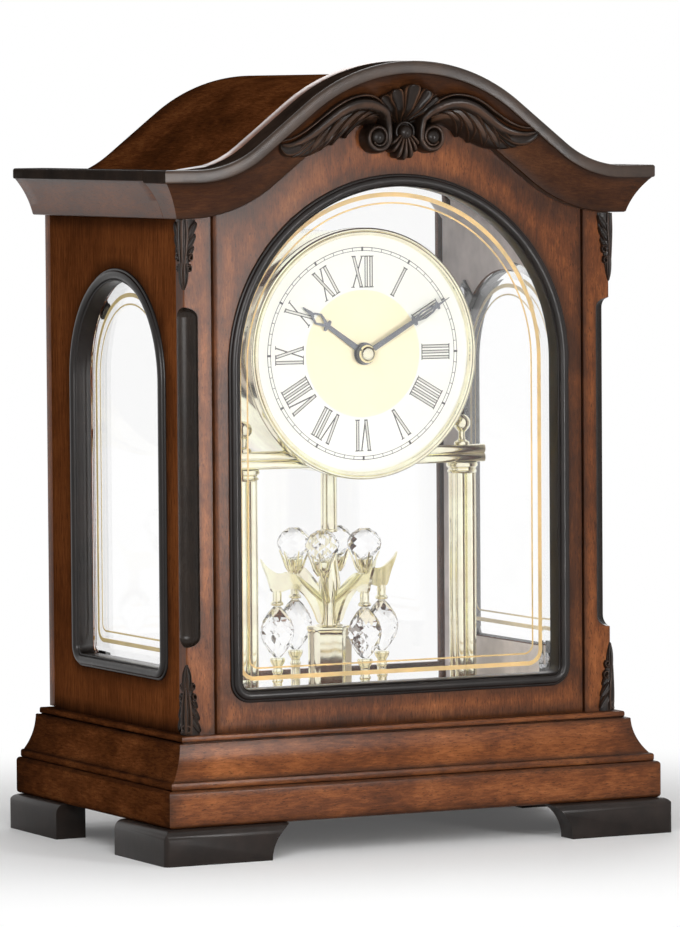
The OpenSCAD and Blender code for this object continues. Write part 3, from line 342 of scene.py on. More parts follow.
class Recipe:
    """Small helper for building a finish out of shader nodes."""

    def __init__(self, name):
        self.finish = bpy.data.materials.new(name)
        self.finish.use_nodes = True
        self.tree = self.finish.node_tree
        self.tree.nodes.clear()
        self.out = self.tree.nodes.new("ShaderNodeOutputMaterial")
        self.skin = self.tree.nodes.new("ShaderNodeBsdfPrincipled")
        self.tree.links.new(self.skin.outputs["BSDF"], self.out.inputs["Surface"])
        self.place = self.tree.nodes.new("ShaderNodeTexCoord").outputs["Object"]

    def put(self, kind, **values):
        node = self.tree.nodes.new(kind)
        for k, v in values.items():
            setattr(node, k, v)
        return node

    def link(self, a, b):
        self.tree.links.new(a, b)

    def stretch(self, scale=(1.0, 1.0, 1.0)):
        m = self.put("ShaderNodeMapping")
        m.inputs["Scale"].default_value = scale
        self.link(self.place, m.inputs["Vector"])
        return m.outputs["Vector"]

    def noise(self, vector, scale, detail=3.0, rough=0.55, distort=0.0):
        n = self.put("ShaderNodeTexNoise")
        n.inputs["Scale"].default_value = scale
        n.inputs["Detail"].default_value = detail
        n.inputs["Roughness"].default_value = rough
        n.inputs["Distortion"].default_value = distort
        self.link(vector, n.inputs["Vector"])
        return n.outputs["Fac"]

    def span(self, value, low, high, to_low=0.0, to_high=1.0, smooth=False):
        n = self.put("ShaderNodeMapRange")
        if smooth:
            n.interpolation_type = "SMOOTHSTEP"
        n.inputs["From Min"].default_value = low
        n.inputs["From Max"].default_value = high
        n.inputs["To Min"].default_value = to_low
        n.inputs["To Max"].default_value = to_high
        self.link(value, n.inputs["Value"])
        return n.outputs["Result"]

    def sum(self, kind, a, b):
        n = self.put("ShaderNodeMath", operation=kind)
        for k, v in enumerate((a, b)):
            if isinstance(v, (int, float)):
                n.inputs[k].default_value = v
            else:
                self.link(v, n.inputs[k])
        return n.outputs[0]

    def ramp(self, value, stops):
        n = self.put("ShaderNodeValToRGB")
        e = n.color_ramp.elements
        while len(e) < len(stops):
            e.new(0.5)
        for k, (at, color) in enumerate(stops):
            e[k].position = at
            e[k].color = color
        self.link(value, n.inputs["Fac"])
        return n.outputs["Color"]

    def blend(self, factor, a, b, kind="MIX"):
        n = self.put("ShaderNodeMix", data_type="RGBA", blend_type=kind)
        for socket, v in ((n.inputs[0], factor), (n.inputs[6], a), (n.inputs[7], b)):
            if isinstance(v, (int, float, tuple)):
                socket.default_value = v
            else:
                self.link(v, socket)
        return n.outputs[2]

    def bump(self, height, depth, strength=1.0):
        n = self.put("ShaderNodeBump")
        n.inputs["Strength"].default_value = strength
        n.inputs["Distance"].default_value = depth
        self.link(height, n.inputs["Height"])
        self.link(n.outputs["Normal"], self.skin.inputs["Normal"])

    def set(self, **values):
        for k, v in values.items():
            socket = self.skin.inputs[k.replace("_", " ")]
            if isinstance(v, (int, float, tuple)):
                socket.default_value = v
            else:
                self.link(v, socket)
        return self


def walnut(name, grain, tone=1.0, shine=0.02, coat=0.0, reach=0.16, mottle=1.0):
    """Stained walnut: fibres, pores and figure along the grain, blotched stain, dark glaze and painted shade near the
    arrises.
    """
    r = Recipe(name)

    def along(share):
        return r.stretch(tuple(share if k == grain else 1.0 for k in range(3)))

    fibre = r.noise(along(reach), 1500, 4, 0.66)
    figure = r.noise(along(reach * 1.9), 150, 5, 0.62, 1.0)
    cloud = r.noise(along(1.0), 19, 4, 0.6, 0.6)
    pore = r.span(r.noise(along(reach), 3000, 2, 0.55), 0.56, 0.68)
    level = r.sum("ADD", r.sum("MULTIPLY", fibre, 0.40), r.sum("MULTIPLY", figure, 0.32 * mottle))
    level = r.sum("ADD", r.sum("ADD", level, r.sum("MULTIPLY", cloud, 0.5 * mottle)), 0.41 * (1 - mottle))
    stops = ((0.0, (62, 34, 18)), (0.35, (96, 52, 25)), (0.62, (125, 71, 36)), (1.0, (162, 99, 55)))
    stain = r.ramp(r.span(level, 0.44, 0.8), [(at, srgb(*[c * tone for c in color])) for at, color in stops])
    stain = r.blend(r.sum("MULTIPLY", pore, 0.75), stain, srgb(34, 17, 9))
    # Dark glaze and painted shade from the attribute: the stain darkens near arrises, grooves and joints and under the
    # cornice, broken up by noise.
    glaze = r.put("ShaderNodeAttribute", attribute_name="glaze").outputs["Fac"]
    glaze_shade_breakup = r.noise(along(1.0), 85, 4, 0.65)
    dark = r.span(r.sum("MULTIPLY", glaze, r.span(glaze_shade_breakup, 0.3, 0.7, 0.66, 1.1)), 0.0, 1.0, 0.0, 0.92)
    stain = r.blend(dark, stain, srgb(33, 20, 13))
    r.set(Base_Color=stain, Roughness=r.span(fibre, 0.3, 0.7, 0.46, 0.58))
    r.skin.inputs["Specular IOR Level"].default_value = shine
    r.skin.inputs["Coat Weight"].default_value = coat
    r.skin.inputs["Coat Roughness"].default_value = 0.28
    r.skin.inputs["Coat IOR"].default_value = 1.4
    r.bump(r.sum("SUBTRACT", r.sum("MULTIPLY", fibre, 0.35), pore), 0.00006, 0.5)
    return r.finish


def black_lacquer(name, color=(24, 19, 17), gloss=0.28, worn=(78, 58, 46), shine=0.2, coat=0.25,
    coat_rough=0.2,
                  ridges=0.0):
    """Black brown lacquer over wood: faint brush grain, thin rubbed places."""
    r = Recipe(name)
    grain = r.noise(r.stretch((1.0, 1.0, 0.12)), 900, 4, 0.6)
    patch = r.noise(r.stretch(), 70, 4, 0.6)
    speck = r.noise(r.stretch(), 620, 3, 0.7)
    base = r.ramp(r.span(patch, 0.3, 0.7), tones(color, 0.78, 1.28))
    rub = r.sum("MULTIPLY", r.span(speck, 0.64, 0.74), r.span(patch, 0.5, 0.64))
    wear_and_highlight_share = r.sum("MULTIPLY", rub, 0.5)
    # Ridges of the carvings are painted lighter brown: worn lacquer and a painted highlight on the raised parts.
    if ridges:
        ridge = r.put("ShaderNodeAttribute", attribute_name="glaze").outputs["Fac"]
        wear_and_highlight_share = r.sum("MAXIMUM", wear_and_highlight_share, r.sum("MULTIPLY", ridge, r.span(patch, 0.35, 0.6,
            0.25 * ridges, ridges)))
    base = r.blend(wear_and_highlight_share, base, srgb(*worn))
    r.set(Base_Color=base, Roughness=r.span(grain, 0.3, 0.7, gloss, gloss + 0.14))
    r.skin.inputs["Specular IOR Level"].default_value = shine
    r.skin.inputs["Coat Weight"].default_value = coat
    r.skin.inputs["Coat Roughness"].default_value = coat_rough
    r.skin.inputs["Coat IOR"].default_value = 1.4
    r.bump(grain, 0.00004, 0.4)
    return r.finish


def brass(name, color, rough=0.07, wear=0.05):
    """Polished lacquered brass: fine wipe marks and slight clouding."""
    r = Recipe(name)
    cloud = r.noise(r.stretch(), 60, 4, 0.6)
    stroke = r.noise(r.stretch((1.0, 1.0, 0.2)), 1800, 3, 0.6)
    tint = r.ramp(r.span(cloud, 0.3, 0.7), tones(color, 0.94, 1.04))
    r.set(Base_Color=tint, Metallic=1.0, Roughness=r.span(stroke, 0.3, 0.75, rough, rough + wear))
    r.bump(stroke, 0.000006, 0.5)
    return r.finish


def glass(name, tint=(1.0, 1.0, 1.0, 1.0), ior=1.47, rough=0.0):
    """Clear glass that lets the lamps through, with a trace of waviness."""
    r = Recipe(name)
    wave = r.noise(r.stretch(), 22, 2, 0.5)
    r.set(Base_Color=tint, Roughness=rough, IOR=ior)
    r.skin.inputs["Transmission Weight"].default_value = 1.0
    r.bump(wave, 0.00002, 0.25)
    clear = r.put("ShaderNodeBsdfTransparent")
    clear.inputs["Color"].default_value = (1, 1, 1, 1)
    ray = r.put("ShaderNodeLightPath")
    mix = r.put("ShaderNodeMixShader")
    r.link(ray.outputs["Is Shadow Ray"], mix.inputs["Fac"])
    r.link(r.skin.outputs["BSDF"], mix.inputs[1])
    r.link(clear.outputs["BSDF"], mix.inputs[2])
    r.link(mix.outputs["Shader"], r.out.inputs["Surface"])
    return r.finish


def plain(name, color, rough=0.45, grit=900, depth=0.00002, metal=0.0, vary=0.06, spec=0.5, coat=0.0):
    """Moulded or painted surface with fine grit and slight colour drift."""
    r = Recipe(name)
    grit_n = r.noise(r.stretch(), grit, 3, 0.6)
    drift = r.noise(r.stretch(), 45, 3, 0.6)
    tint = r.ramp(r.span(drift, 0.3, 0.7), tones(color, 1 - vary, 1 + vary))
    r.set(Base_Color=tint, Metallic=metal, Roughness=r.span(grit_n, 0.3, 0.7, rough, rough + 0.1))
    r.skin.inputs["Specular IOR Level"].default_value = spec
    r.skin.inputs["Coat Weight"].default_value = coat
    r.bump(grit_n, depth, 0.5)
    return r.finish


def dial_face(name):
    """Dial: near white ring and cream middle, with a fine satin grain."""
    r = Recipe(name)
    centre = r.put("ShaderNodeMapping", vector_type="POINT")
    centre.inputs["Location"].default_value = (0, 0, -DIAL_Z * MM)
    centre.inputs["Scale"].default_value = (1, 0, 1)
    r.link(r.place, centre.inputs["Vector"])
    reach = r.put("ShaderNodeVectorMath", operation="LENGTH")
    r.link(centre.outputs["Vector"], reach.inputs[0])
    cream = r.span(reach.outputs["Value"], 0.0262, 0.0259)
    grain = r.noise(r.stretch(), 2400, 3, 0.6)
    drift = r.noise(r.stretch(), 30, 3, 0.6)
    outer = r.ramp(r.span(drift, 0.3, 0.7), [(0.0, srgb(236, 236, 227)), (1.0, srgb(242, 241, 233))])
    inner = r.ramp(r.span(drift, 0.3, 0.7), [(0.0, srgb(244, 232, 196)), (1.0, srgb(248, 237, 203))])
    r.set(Base_Color=r.blend(cream, outer, inner), Roughness=r.span(grain, 0.3, 0.7, 0.34, 0.42))
    r.skin.inputs["Specular IOR Level"].default_value = 0.1
    r.bump(grain, 0.000008, 0.5)
    return r.finish


WOOD_UP = walnut("walnut_grain_up", 2, coat=0.45)
WOOD_ACROSS = walnut("walnut_grain_across", 0, tone=0.96, coat=0.4)
WOOD_DEEP = walnut("walnut_grain_front_to_back", 1, tone=0.9, shine=0.0)
# The front cornice walnut is a darker copy (tone 0.54): dark glaze and painted shade of the cove under the crown.
WOOD_CORNICE_SHADED = walnut("walnut_front_cornice", 0, tone=0.54, coat=0.25)
WOOD_COVE = walnut("walnut_side_cornice", 1, tone=0.86, shine=0.25, coat=0.3, mottle=0.6)
WOOD_SIDE = walnut("walnut_side_panel", 2, tone=0.97, shine=0.0, reach=0.06, mottle=0.45)
WOOD_ROOF = walnut("walnut_roof", 1, tone=0.88, shine=0.0)
# Inside faces, roof battens and floor board are pale grey: painted reflected light that makes the inner walls bright.
INSIDE_PAINTED_LIGHT = plain("grey_inside", (226, 217, 215), 0.5, grit=420, depth=0.00004, vary=0.12)
BLACK_TRIM = black_lacquer("black_window_moulding")
BLACK_FOOT = black_lacquer("black_brown_foot", (34, 28, 25), 0.42, shine=0.02, coat=0.5, coat_rough=0.28)
BLACK_CARVED = black_lacquer("black_brown_carving", (25, 17, 12), 0.26, worn=(104, 72, 52), shine=0.16,
    coat=0.14, ridges=0.9)
# The front fillet's black is painted lighter than the side fillet's: a painted sheen on the front.
BLACK_CORNICE_SHEEN = black_lacquer("black_cornice_fillet", (50, 38, 30), 0.3, shine=0.1, coat=0.6, coat_rough=0.3)
BLACK_FLUTE = black_lacquer("black_corner_flute", (30, 23, 18), 0.2, shine=0.15, coat=0.12)
BLACK_SIDE = black_lacquer("black_side_fillet", (36, 28, 23), 0.45, shine=0.01, coat=0.0)
BLACK_TOP = black_lacquer("black_cornice_top", (48, 38, 32), 0.6, shine=0.0, coat=0.0)
BRASS = brass("polished_brass", (255, 245, 220))
BRASS_MIRROR = brass("mirror_brass", (246, 236, 212), 0.02, 0.02)
BRASS_GEAR = brass("gear_brass", (205, 165, 84), 0.22, 0.1)
GLASS = glass("window_glass")
CRYSTAL = glass("cut_crystal", ior=1.24)
DIAL = dial_face("dial_ivory")
PRINT = plain("dial_print", (58, 56, 55), 0.5)
PRINT_LIGHT = plain("dial_print_light", (206, 204, 196), 0.5)
HAND = plain("hand_grey", (80, 82, 88), 0.32, metal=0.3, coat=0.2)
GOLD_LINE = plain("gold_line", (232, 206, 142), 0.35, coat=0.2)
PLASTIC = plain("black_plastic", (30, 30, 31), 0.42)
CLIP = plain("clip_shiny_black", (34, 32, 33), 0.16, coat=0.6)
PLASTIC_GREY = plain("speaker_grey", (70, 70, 72), 0.5)
STEEL = plain("bright_steel", (196, 197, 200), 0.2, metal=1.0)
MAGNET = plain("magnet_holder", (92, 92, 96), 0.35, metal=0.6)
BOARD = plain("board_green", (24, 92, 52), 0.3, coat=0.4)
SLEEVE = plain("battery_sleeve", (184, 120, 48), 0.25, metal=0.4, coat=0.5)
WHITE = plain("switch_white", (226, 224, 218), 0.3)

# Camera
EYE = (-1113.8, -2205.5, 300.2)
YAW, PITCH, ROLL, FOCAL_PX = radians(26.83), radians(3.43), radians(-0.41), 5993.0
FRAME_H = 927
ahead = Vector((sin(YAW) * cos(PITCH), cos(YAW) * cos(PITCH), -sin(PITCH)))
level = Vector((cos(YAW), -sin(YAW), 0))
above = level.cross(ahead)
right_way = level * cos(ROLL) + above * sin(ROLL)
up_way = -level * sin(ROLL) + above * cos(ROLL)
camera_data = bpy.data.cameras.new("photo_camera")
camera_data.sensor_width = 36
camera_data.lens = FOCAL_PX * 36 / FRAME_H
camera_data.clip_start = 0.05
camera_data.clip_end = 60
camera = bpy.data.objects.new("photo_camera", camera_data)
turn = Matrix((right_way, up_way, -ahead)).transposed()
camera.matrix_world = Matrix.Translation(Vector(EYE) * MM) @ turn.to_4x4()
bpy.context.scene.collection.objects.link(camera)
bpy.context.scene.camera = camera

# Case: boards and panels
FRONT_WINDOW = arch_line(WIN_HALF, WIN_Z0, WIN_TOP, TRIM_CORNER, -1.0)
SIDE_WINDOW = arch_line(SIDE_HALF, SIDE_Z0, SIDE_TOP, TRIM_CORNER, -1.0)


def front_panel():
    piece = ease("walnut_front_panel", "front_panel", [WOOD_UP], width=0.35, cuts=((0, 3.2), (2, 3.2)))
    sides = [[(s * PANEL_HALF, FRONT_Y, BODY_Z), (s * PANEL_HALF, FRONT_Y, FLAT_Z)] for s in (-1, 1)]
    foot = [[(-PANEL_HALF, FRONT_Y, BODY_Z), (PANEL_HALF, FRONT_Y, BODY_Z)]]
    # Dark glaze and painted shade round the window, along the sides and foot, and a wider, stronger painted shade
    # under the cornice.
    darken(piece, ([ring_of(FRONT_WINDOW + FRONT_WINDOW[:1], FRONT_Y)] + sides + foot, 8.0, 0.9),
           ([ring_of(crown_line(CORNICE_H), FRONT_Y)], 15.0, 0.95))


def side_panels():
    for s, name, node in ((-1, "walnut_left_side_panel", "left_side_panel"), (1, "walnut_right_side_panel",
        "right_side_panel")):
        piece = ease(name, node, [WOOD_SIDE, INSIDE_PAINTED_LIGHT], width=0.35, cuts=((1, 3.2), (2, 3.2)))
        x = s * HALF_W
        window = [(x, SIDE_MIDS[s] + y, z) for y, z in SIDE_WINDOW + SIDE_WINDOW[:1]]
        rim = [(x, SEAM_Y - 6, BODY_Z), (x, BACK_Y, BODY_Z), (x, BACK_Y, FLAT_Z - CORNICE_H), (x,
            SEAM_Y - 6, FLAT_Z - CORNICE_H)]
        # Dark glaze and painted shade round the window and along the panel's edges.
        darken(piece, ([window, rim + rim[:1]], 8.0, 0.85))
        # Inner faces take the pale inside finish: painted reflected light.
        for face in piece.data.polygons:
            if abs(face.center.x) < (INNER_X + 0.05) * MM:
                face.material_index = 1


def corner_stiles():
    flute_z0, flute_z1, flute_end, flute_r = 84.7, 220.3, 4.4, 6.2
    heights = [BODY_Z]
    heights += list(np.linspace(BODY_Z + 4, flute_z0, 9))
    heights += [flute_z0 + flute_end * (1 - cos(pi / 2 * i / 8)) for i in range(1, 9)]
    heights += list(np.linspace(flute_z0 + flute_end + 4, flute_z1 - flute_end - 4, 30))
    heights += [flute_z1 - flute_end * cos(pi / 2 * i / 8) if i < 8 else flute_z1 for i in range(0, 9)]
    heights += list(np.linspace(flute_z1 + 4, FLAT_Z - 1, 14))
    for s, name, node in ((-1, "walnut_left_corner_stile", "left_corner_stile"), (1,
        "walnut_right_corner_stile", "right_corner_stile")):
        form = Form()
        # Values per point: dark glaze and painted shade along the flute's edges, the corner and the joints with the
        # panels.
        rings, glaze = [], []
        for z in heights:
            if z <= flute_z0 or z >= flute_z1:
                r = 0.0
            elif z < flute_z0 + flute_end:
                r = flute_r * sqrt(max(0, 1 - ((flute_z0 + flute_end - z) / flute_end) ** 2))
            elif z > flute_z1 - flute_end:
                r = flute_r * sqrt(max(0, 1 - ((z - flute_z1 + flute_end) / flute_end) ** 2))
            else:
                r = flute_r
            ring = []
            for i in range(17):
                a = pi / 2 * i / 16
                if r > 0.55:
                    ring.append((-HALF_W + r * sin(a), FRONT_Y + r * cos(a), z))
                    shade = 1.0 if 0 < i < 16 else 0.8
                else:
                    c = 0.55
                    ring.append((-HALF_W + c - c * cos(a), FRONT_Y + c - c * sin(a), z))
                    shade = 0.35
                glaze.append(shade)
            x_steps = [(-HALF_W + max(r, 0.55) + 0.6, 0.5 if r > 0.5 else 0.1), (-HALF_W + 8.4, 0.0),
                (-PANEL_HALF - 2.4, 0.12), (-PANEL_HALF - 0.02, 0.9)]
            for x, g in x_steps:
                ring.append((x, FRONT_Y, z))
                glaze.append(g)
            for x, y, g in ((-PANEL_HALF - 0.02, SEAM_Y, 1.0), (-HALF_W, SEAM_Y, 0.6), (-HALF_W,
                FRONT_Y + max(r, 0.55) + 0.3, 0.55 if r > 0.5 else 0.3)):
                ring.append((x, y, z))
                glaze.append(g)
            rings.append(ring)
        top = []
        for x, y, z in rings[-1]:
            rise = SWEEP_R - sqrt(max(0.0, SWEEP_R ** 2 - max(0.0, CROWN_HALF - abs(x)) ** 2))
            top.append((x, y, FLAT_Z + rise))
        rings.append(top)
        glaze += [0.9] * len(top)
        end = len(rings)
        # Painted shade at the foot and under the cornice.
        for k, z in enumerate(heights):
            near = max(0.0, 1 - (z - BODY_Z) / 5.0, 1 - abs(z - (FLAT_Z - CORNICE_H)) / 6.0)
            for i in range(len(top)):
                glaze[k * len(top) + i] = max(glaze[k * len(top) + i], 0.85 * near)
        points, faces = loft(rings)
        points = [(x * -s, y, z) for x, y, z in points]
        form.add((points, faces), 0, glaze)
        for f_index, face in enumerate(form.faces):
            if f_index < (end - 1) * len(top):
                k, i = divmod(f_index, len(top))
                if i < 16 and flute_z0 < heights[min(k, len(heights) - 1)] < flute_z1 - 0.01:
                    form.finish[f_index] = 1
        make(name, form, [WOOD_UP, BLACK_FLUTE], stands_for=(node,), crease=40)


front_panel()
side_panels()
corner_stiles()


# Cornice and roof
def cornice_section(fillet):
    """Offsets out from the case and down from the top line, with the dark glaze and painted shade of each point and
    its finish.
    """
    rows = [(0.0, 0.0, 0.9, 1), (7.0, 0.0, 0.5, 1), (CORNICE_OUT - 1.0, 0.0, 0.6, 1)]
    for i in range(1, 6):
        a = pi / 2 * i / 6
        rows.append((CORNICE_OUT - 1.0 + sin(a), 1.0 - cos(a), 0.8, 1))
    rows += [(CORNICE_OUT, 1.0, 0.8, 1), (CORNICE_OUT, fillet - 0.7, 0.8, 1), (CORNICE_OUT - 0.25,
        fillet - 0.2, 1.0, 1),
             (CORNICE_OUT - 0.9, fillet, 1.0, 0)]
    x0, z0, x1, z1 = CORNICE_OUT - 1.1, fillet + 0.2, 5.2, CORNICE_H - 0.3
    n = 14
    for i in range(n + 1):
        t = i / n
        dx, dz = x1 - x0, z1 - z0
        size = sqrt(dx * dx + dz * dz)
        sag = 0.95 * 4 * t * (1 - t)
        # Dark glaze and painted shade at the top and the foot of the cove.
        glaze = max(0.0, 0.95 - t * 5.5, (t - 0.83) * 4.2)
        rows.append((x0 + dx * t - dz / size * sag, z0 + dz * t + dx / size * sag, min(1.0, glaze), 0))
    rows += [(4.6, CORNICE_H, 1.0, 1), (0.0, CORNICE_H, 1.0, 1)]
    return rows


def front_cornice():
    section = cornice_section(5.2)
    rings = []

    def side_ring(s, y, dy):
        return [(s * (HALF_W + o), y + dy * o, FLAT_Z - d) for o, d, g, f in section]

    rings.append(side_ring(-1, SEAM_Y, 0))
    rings.append(side_ring(-1, FRONT_Y + 1.5, 0))
    rings.append(side_ring(-1, FRONT_Y, -1))
    lines = [crown_line(d) for o, d, g, f in section]
    count = len(lines[0])
    for k in range(count):
        rings.append([(lines[i][k][0], FRONT_Y - section[i][0],
            lines[i][k][1]) for i in range(len(section))])
    rings.append(side_ring(1, FRONT_Y, -1))
    rings.append(side_ring(1, FRONT_Y + 1.5, 0))
    rings.append(side_ring(1, SEAM_Y, 0))
    points, faces = loft(rings)
    # The returns beside the side cornices get dark glaze and painted shade.
    glaze = [max(g, 0.7 if k < 2 or k > len(rings) - 3 else 0.0)
             for k in range(len(rings)) for o, d, g, f in section]
    form = Form().add((points, faces), 0, glaze)
    n = len(section)
    for index in range(len(form.faces)):
        k, i = divmod(index, n)
        black = index >= (len(rings) - 1) * n or section[i][3] == 1 and section[(i + 1) % n][3] == 1
        side = k < 2 or k >= len(rings) - 3
        form.finish[index] = (3 if i < 2 else 4 if side else 1) if black else (2 if side else 0)
    make("walnut_front_cornice", form, [WOOD_CORNICE_SHADED, BLACK_CORNICE_SHEEN, WOOD_COVE, BLACK_TOP, BLACK_SIDE],
        stands_for=("front_cornice",),
         crease=30)


def side_cornices():
    section = cornice_section(4.4)
    form = Form()
    for s in (-1, 1):
        depths = [SEAM_Y + 0.12, SEAM_Y + 0.5] + list(np.linspace(SEAM_Y + 8, BACK_Y - 0.4, 12)) + [BACK_Y]
        rings, glaze = [], []
        for k, y in enumerate(depths):
            tuck = 0.25 if k == 0 or k == len(depths) - 1 else 0.0
            rings.append([(s * (HALF_W + max(0.0, o - tuck)), y, FLAT_Z - d) for o, d, g, f in section])
            shade = 0.55 * max(0.0, 1 - (y - SEAM_Y) / 45.0)
            glaze += [max(g, 0.1 if k < 2 else shade) for o, d, g, f in section]
        part = loft(rings)
        first = len(form.faces)
        form.add(part, 0, glaze)
        n = len(section)
        for index in range(len(part[1])):
            i = index % n
            black = index >= (len(rings) - 1) * n or section[i][3] == 1 and section[(i + 1) % n][3] == 1
            form.finish[first + index] = (2 if i < 2 else 1) if black else 0
    make("walnut_side_cornices", form, [WOOD_COVE, BLACK_SIDE, BLACK_TOP], stands_for=("side_cornices",),
        crease=30)


def roof():
    upper = crown_line(4.9, 40, 28)
    lower = crown_line(9.5, 40, 28)
    upper = [(-HALF_W, upper[0][1])] + upper + [(HALF_W, upper[-1][1])]
    lower = [(-HALF_W, lower[0][1])] + lower + [(HALF_W, lower[-1][1])]
    band = upper + lower[::-1]
    form = Form()
    depths = [SEAM_Y, SEAM_Y + 1.5, SEAM_Y + 4, SEAM_Y + 8, SEAM_Y + 14] + list(np.linspace(-20, 62,
        9)) + [69, 73, 76.3, BACK_Y]
    rings = [ring_of(band, y) for y in depths]
    glaze = []
    n = len(upper)
    for y in depths:
        # Dark glaze and painted shade towards the front, the back and the ends.
        front = max(0.0, 1 - (y - SEAM_Y) / 13.0)
        rear = max(0.0, 1 - (BACK_Y - y) / 7.0)
        for k in range(len(band)):
            x = abs(band[k][0])
            ends = max(0.0, 1 - (HALF_W - x) / 9.0)
            glaze.append(min(1.0, max(front, rear * 0.8, ends * 0.9)) if k < n else 0.4)
    form.add(loft(rings), 0, glaze)
    make("walnut_roof", form, [WOOD_ROOF], stands_for=("roof_shell",), crease=40)


front_cornice()
side_cornices()
roof()
ease("walnut_roof_battens", "roof_battens", [INSIDE_PAINTED_LIGHT], width=0.4)
ease("walnut_floor_board", "floor_board", [INSIDE_PAINTED_LIGHT], width=0.3)


# Base
def base_mouldings():
    # Third value of each row: dark glaze and painted shade in the grooves and hollows.
    rows = [(-12.0, 0.0, 1.0), (9.0, 0.0, 1.0), (12.4, 0.0, 0.9), (12.85, 0.25, 0.6), (13.0, 0.7, 0.3),
        (13.0, 2.4, 0.35),
            (12.8, 2.9, 0.8), (12.3, 3.2, 1.0)]
    x0, z0, x1, z1 = 11.6, 3.25, 6.0, 17.5
    for i in range(15):
        t = i / 14
        dx, dz = x1 - x0, z1 - z0
        size = sqrt(dx * dx + dz * dz)
        sag = 1.3 * 4 * t * (1 - t)
        glaze = max(0.0, 0.9 - t * 7, (t - 0.84) * 5.0)
        rows.append((x0 + dx * t - dz / size * sag, z0 + dz * t + dx / size * sag, min(1.0, glaze)))
    rows += [(5.4, 17.7, 0.9), (3.4, 17.5, 1.0), (3.4, 17.9, 1.0), (3.8, 17.95, 1.0), (4.15, 18.25, 0.6),
        (4.2, 18.7, 0.15),
             (4.2, 19.5, 0.15), (4.05, 20.05, 0.3), (3.7, 20.3, 0.5), (0.6, 20.3, 0.95), (-12.0, 20.3, 1.0)]
    form = Form()
    rings, glaze = [], []
    # Last value of each station: dark glaze and painted shade towards the corners and the back.
    left = [(-1, BACK_Y, 0, 0, 0.5), (-1, 60, 0, 0, 0.2), (-1, 20, 0, 0, 0.15), (-1, -20, 0, 0, 0.15), (-1,
        FRONT_Y + 2, 0, 0, 0.45),
            (-1, FRONT_Y, -1, 0, 0.6), (-1, FRONT_Y, -1, 9, 0.0)]
    stations = left + [(-s, y, dy, slide, g) for s, y, dy, slide, g in reversed(left)]
    for s, y, dy, slide, low in stations:
        rings.append([(s * (HALF_W + o - slide), y + dy * o, MOULD_Z + h) for o, h, g in rows])
        glaze += [max(g, low) for o, h, g in rows]
    form.add(loft(rings), 0, glaze)
    n = len(rows)
    for index in range(len(form.faces)):
        form.finish[index] = 0 if index // n in (5, 6, 7) and index < (len(rings) - 1) * n else 1
    # The inner block gets dark glaze and painted shade all over.
    form.add(block((-HALF_W + 12, BACK_Y - 12, MOULD_Z), (HALF_W - 12, BACK_Y - 0.02, BODY_Z - 0.01)), 0,
        0.7)
    make("walnut_base_mouldings", form, [WOOD_ACROSS, WOOD_DEEP], stands_for=("base_mouldings",),
        crease=30)


def base_board():
    form = Form()
    e = 1.5
    # Third value of each row: dark glaze and painted shade at the board's edges and round-overs.
    rows = [(-40, 0, 1.0), (-e, 0, 1.0)]
    for i in range(1, 6):
        a = pi / 2 * i / 6
        rows.append((-e + e * sin(a), e - e * cos(a), 0.8))
    rows += [(0, e, 0.45), (0, e + 2.5, 0.05), (0, 7.5, 0.0), (0, 15 - e - 2.5, 0.0), (0, 15 - e, 0.3)]
    for i in range(1, 6):
        a = pi / 2 * i / 6
        rows.append((-e + e * cos(a), 15 - e + e * sin(a), 0.75))
    rows += [(-e, 15, 1.0), (-40, 15, 1.0)]
    out = 15.0
    rings, glaze = [], []
    # Last value of each station: dark glaze and painted shade towards the corners and the back.
    for s, y, dy, edge in ((-1, BACK_Y, 0, 0.55), (-1, 60, 0, 0.3), (-1, 0, 0, 0.25), (-1, FRONT_Y - 8, 0,
        0.35), (-1, FRONT_Y, -1, 0.75),
                           (-1, FRONT_Y, -1, -8), (1, FRONT_Y, -1, -8), (1, FRONT_Y, -1, 0.6), (1,
                               FRONT_Y - 8, 0, 0.35), (1, 0, 0, 0.25),
                           (1, 60, 0, 0.3), (1, BACK_Y, 0, 0.55)):
        slide = 8.0 if edge == -8 else 0.0
        rings.append([(s * (HALF_W + out + o - slide), y + dy * (out + o), 14.4 + h) for o, h, g in rows])
        glaze += [max(g, max(0.0, edge)) for o, h, g in rows]
    form.add(loft(rings), 0, glaze)
    n = len(rows)
    for index in range(len(form.faces)):
        form.finish[index] = 0 if index // n in (4, 5, 6) and index < (len(rings) - 1) * n else 1
    # The inner block gets dark glaze and painted shade all over.
    form.add(block((-HALF_W, FRONT_Y + 10, 14.45), (HALF_W, BACK_Y - 0.02, 29.35)), 0, 0.8)
    make("walnut_base_board", form, [WOOD_ACROSS, WOOD_DEEP], stands_for=("base_board",),
        crease=30)


base_mouldings()
base_board()
for corner in ("front_left", "front_right", "rear_left", "rear_right"):
    ease("bracket_foot_" + corner, corner + "_foot", [BLACK_FOOT], width=0.9, crease=24,
        segments=3)


# Windows
def moulding_rows(depth):
    """Section of the black moulding: offset from the window's outer line and height over the panel."""
    rows = [(0.0, -0.3), (0.0, 0.5), (-0.35, 0.9), (-0.8, 0.95)]
    for i in range(11):
        a = pi * i / 10
        rows.append((-2.6 + 1.75 * cos(a), 0.95 + 1.33 * sin(a)))
    rows += [(-4.45, 0.75), (-4.75, 0.95), (-5.05, 0.75), (-5.2, 0.3), (-5.2, -depth), (-4.0, -depth)]
    return rows


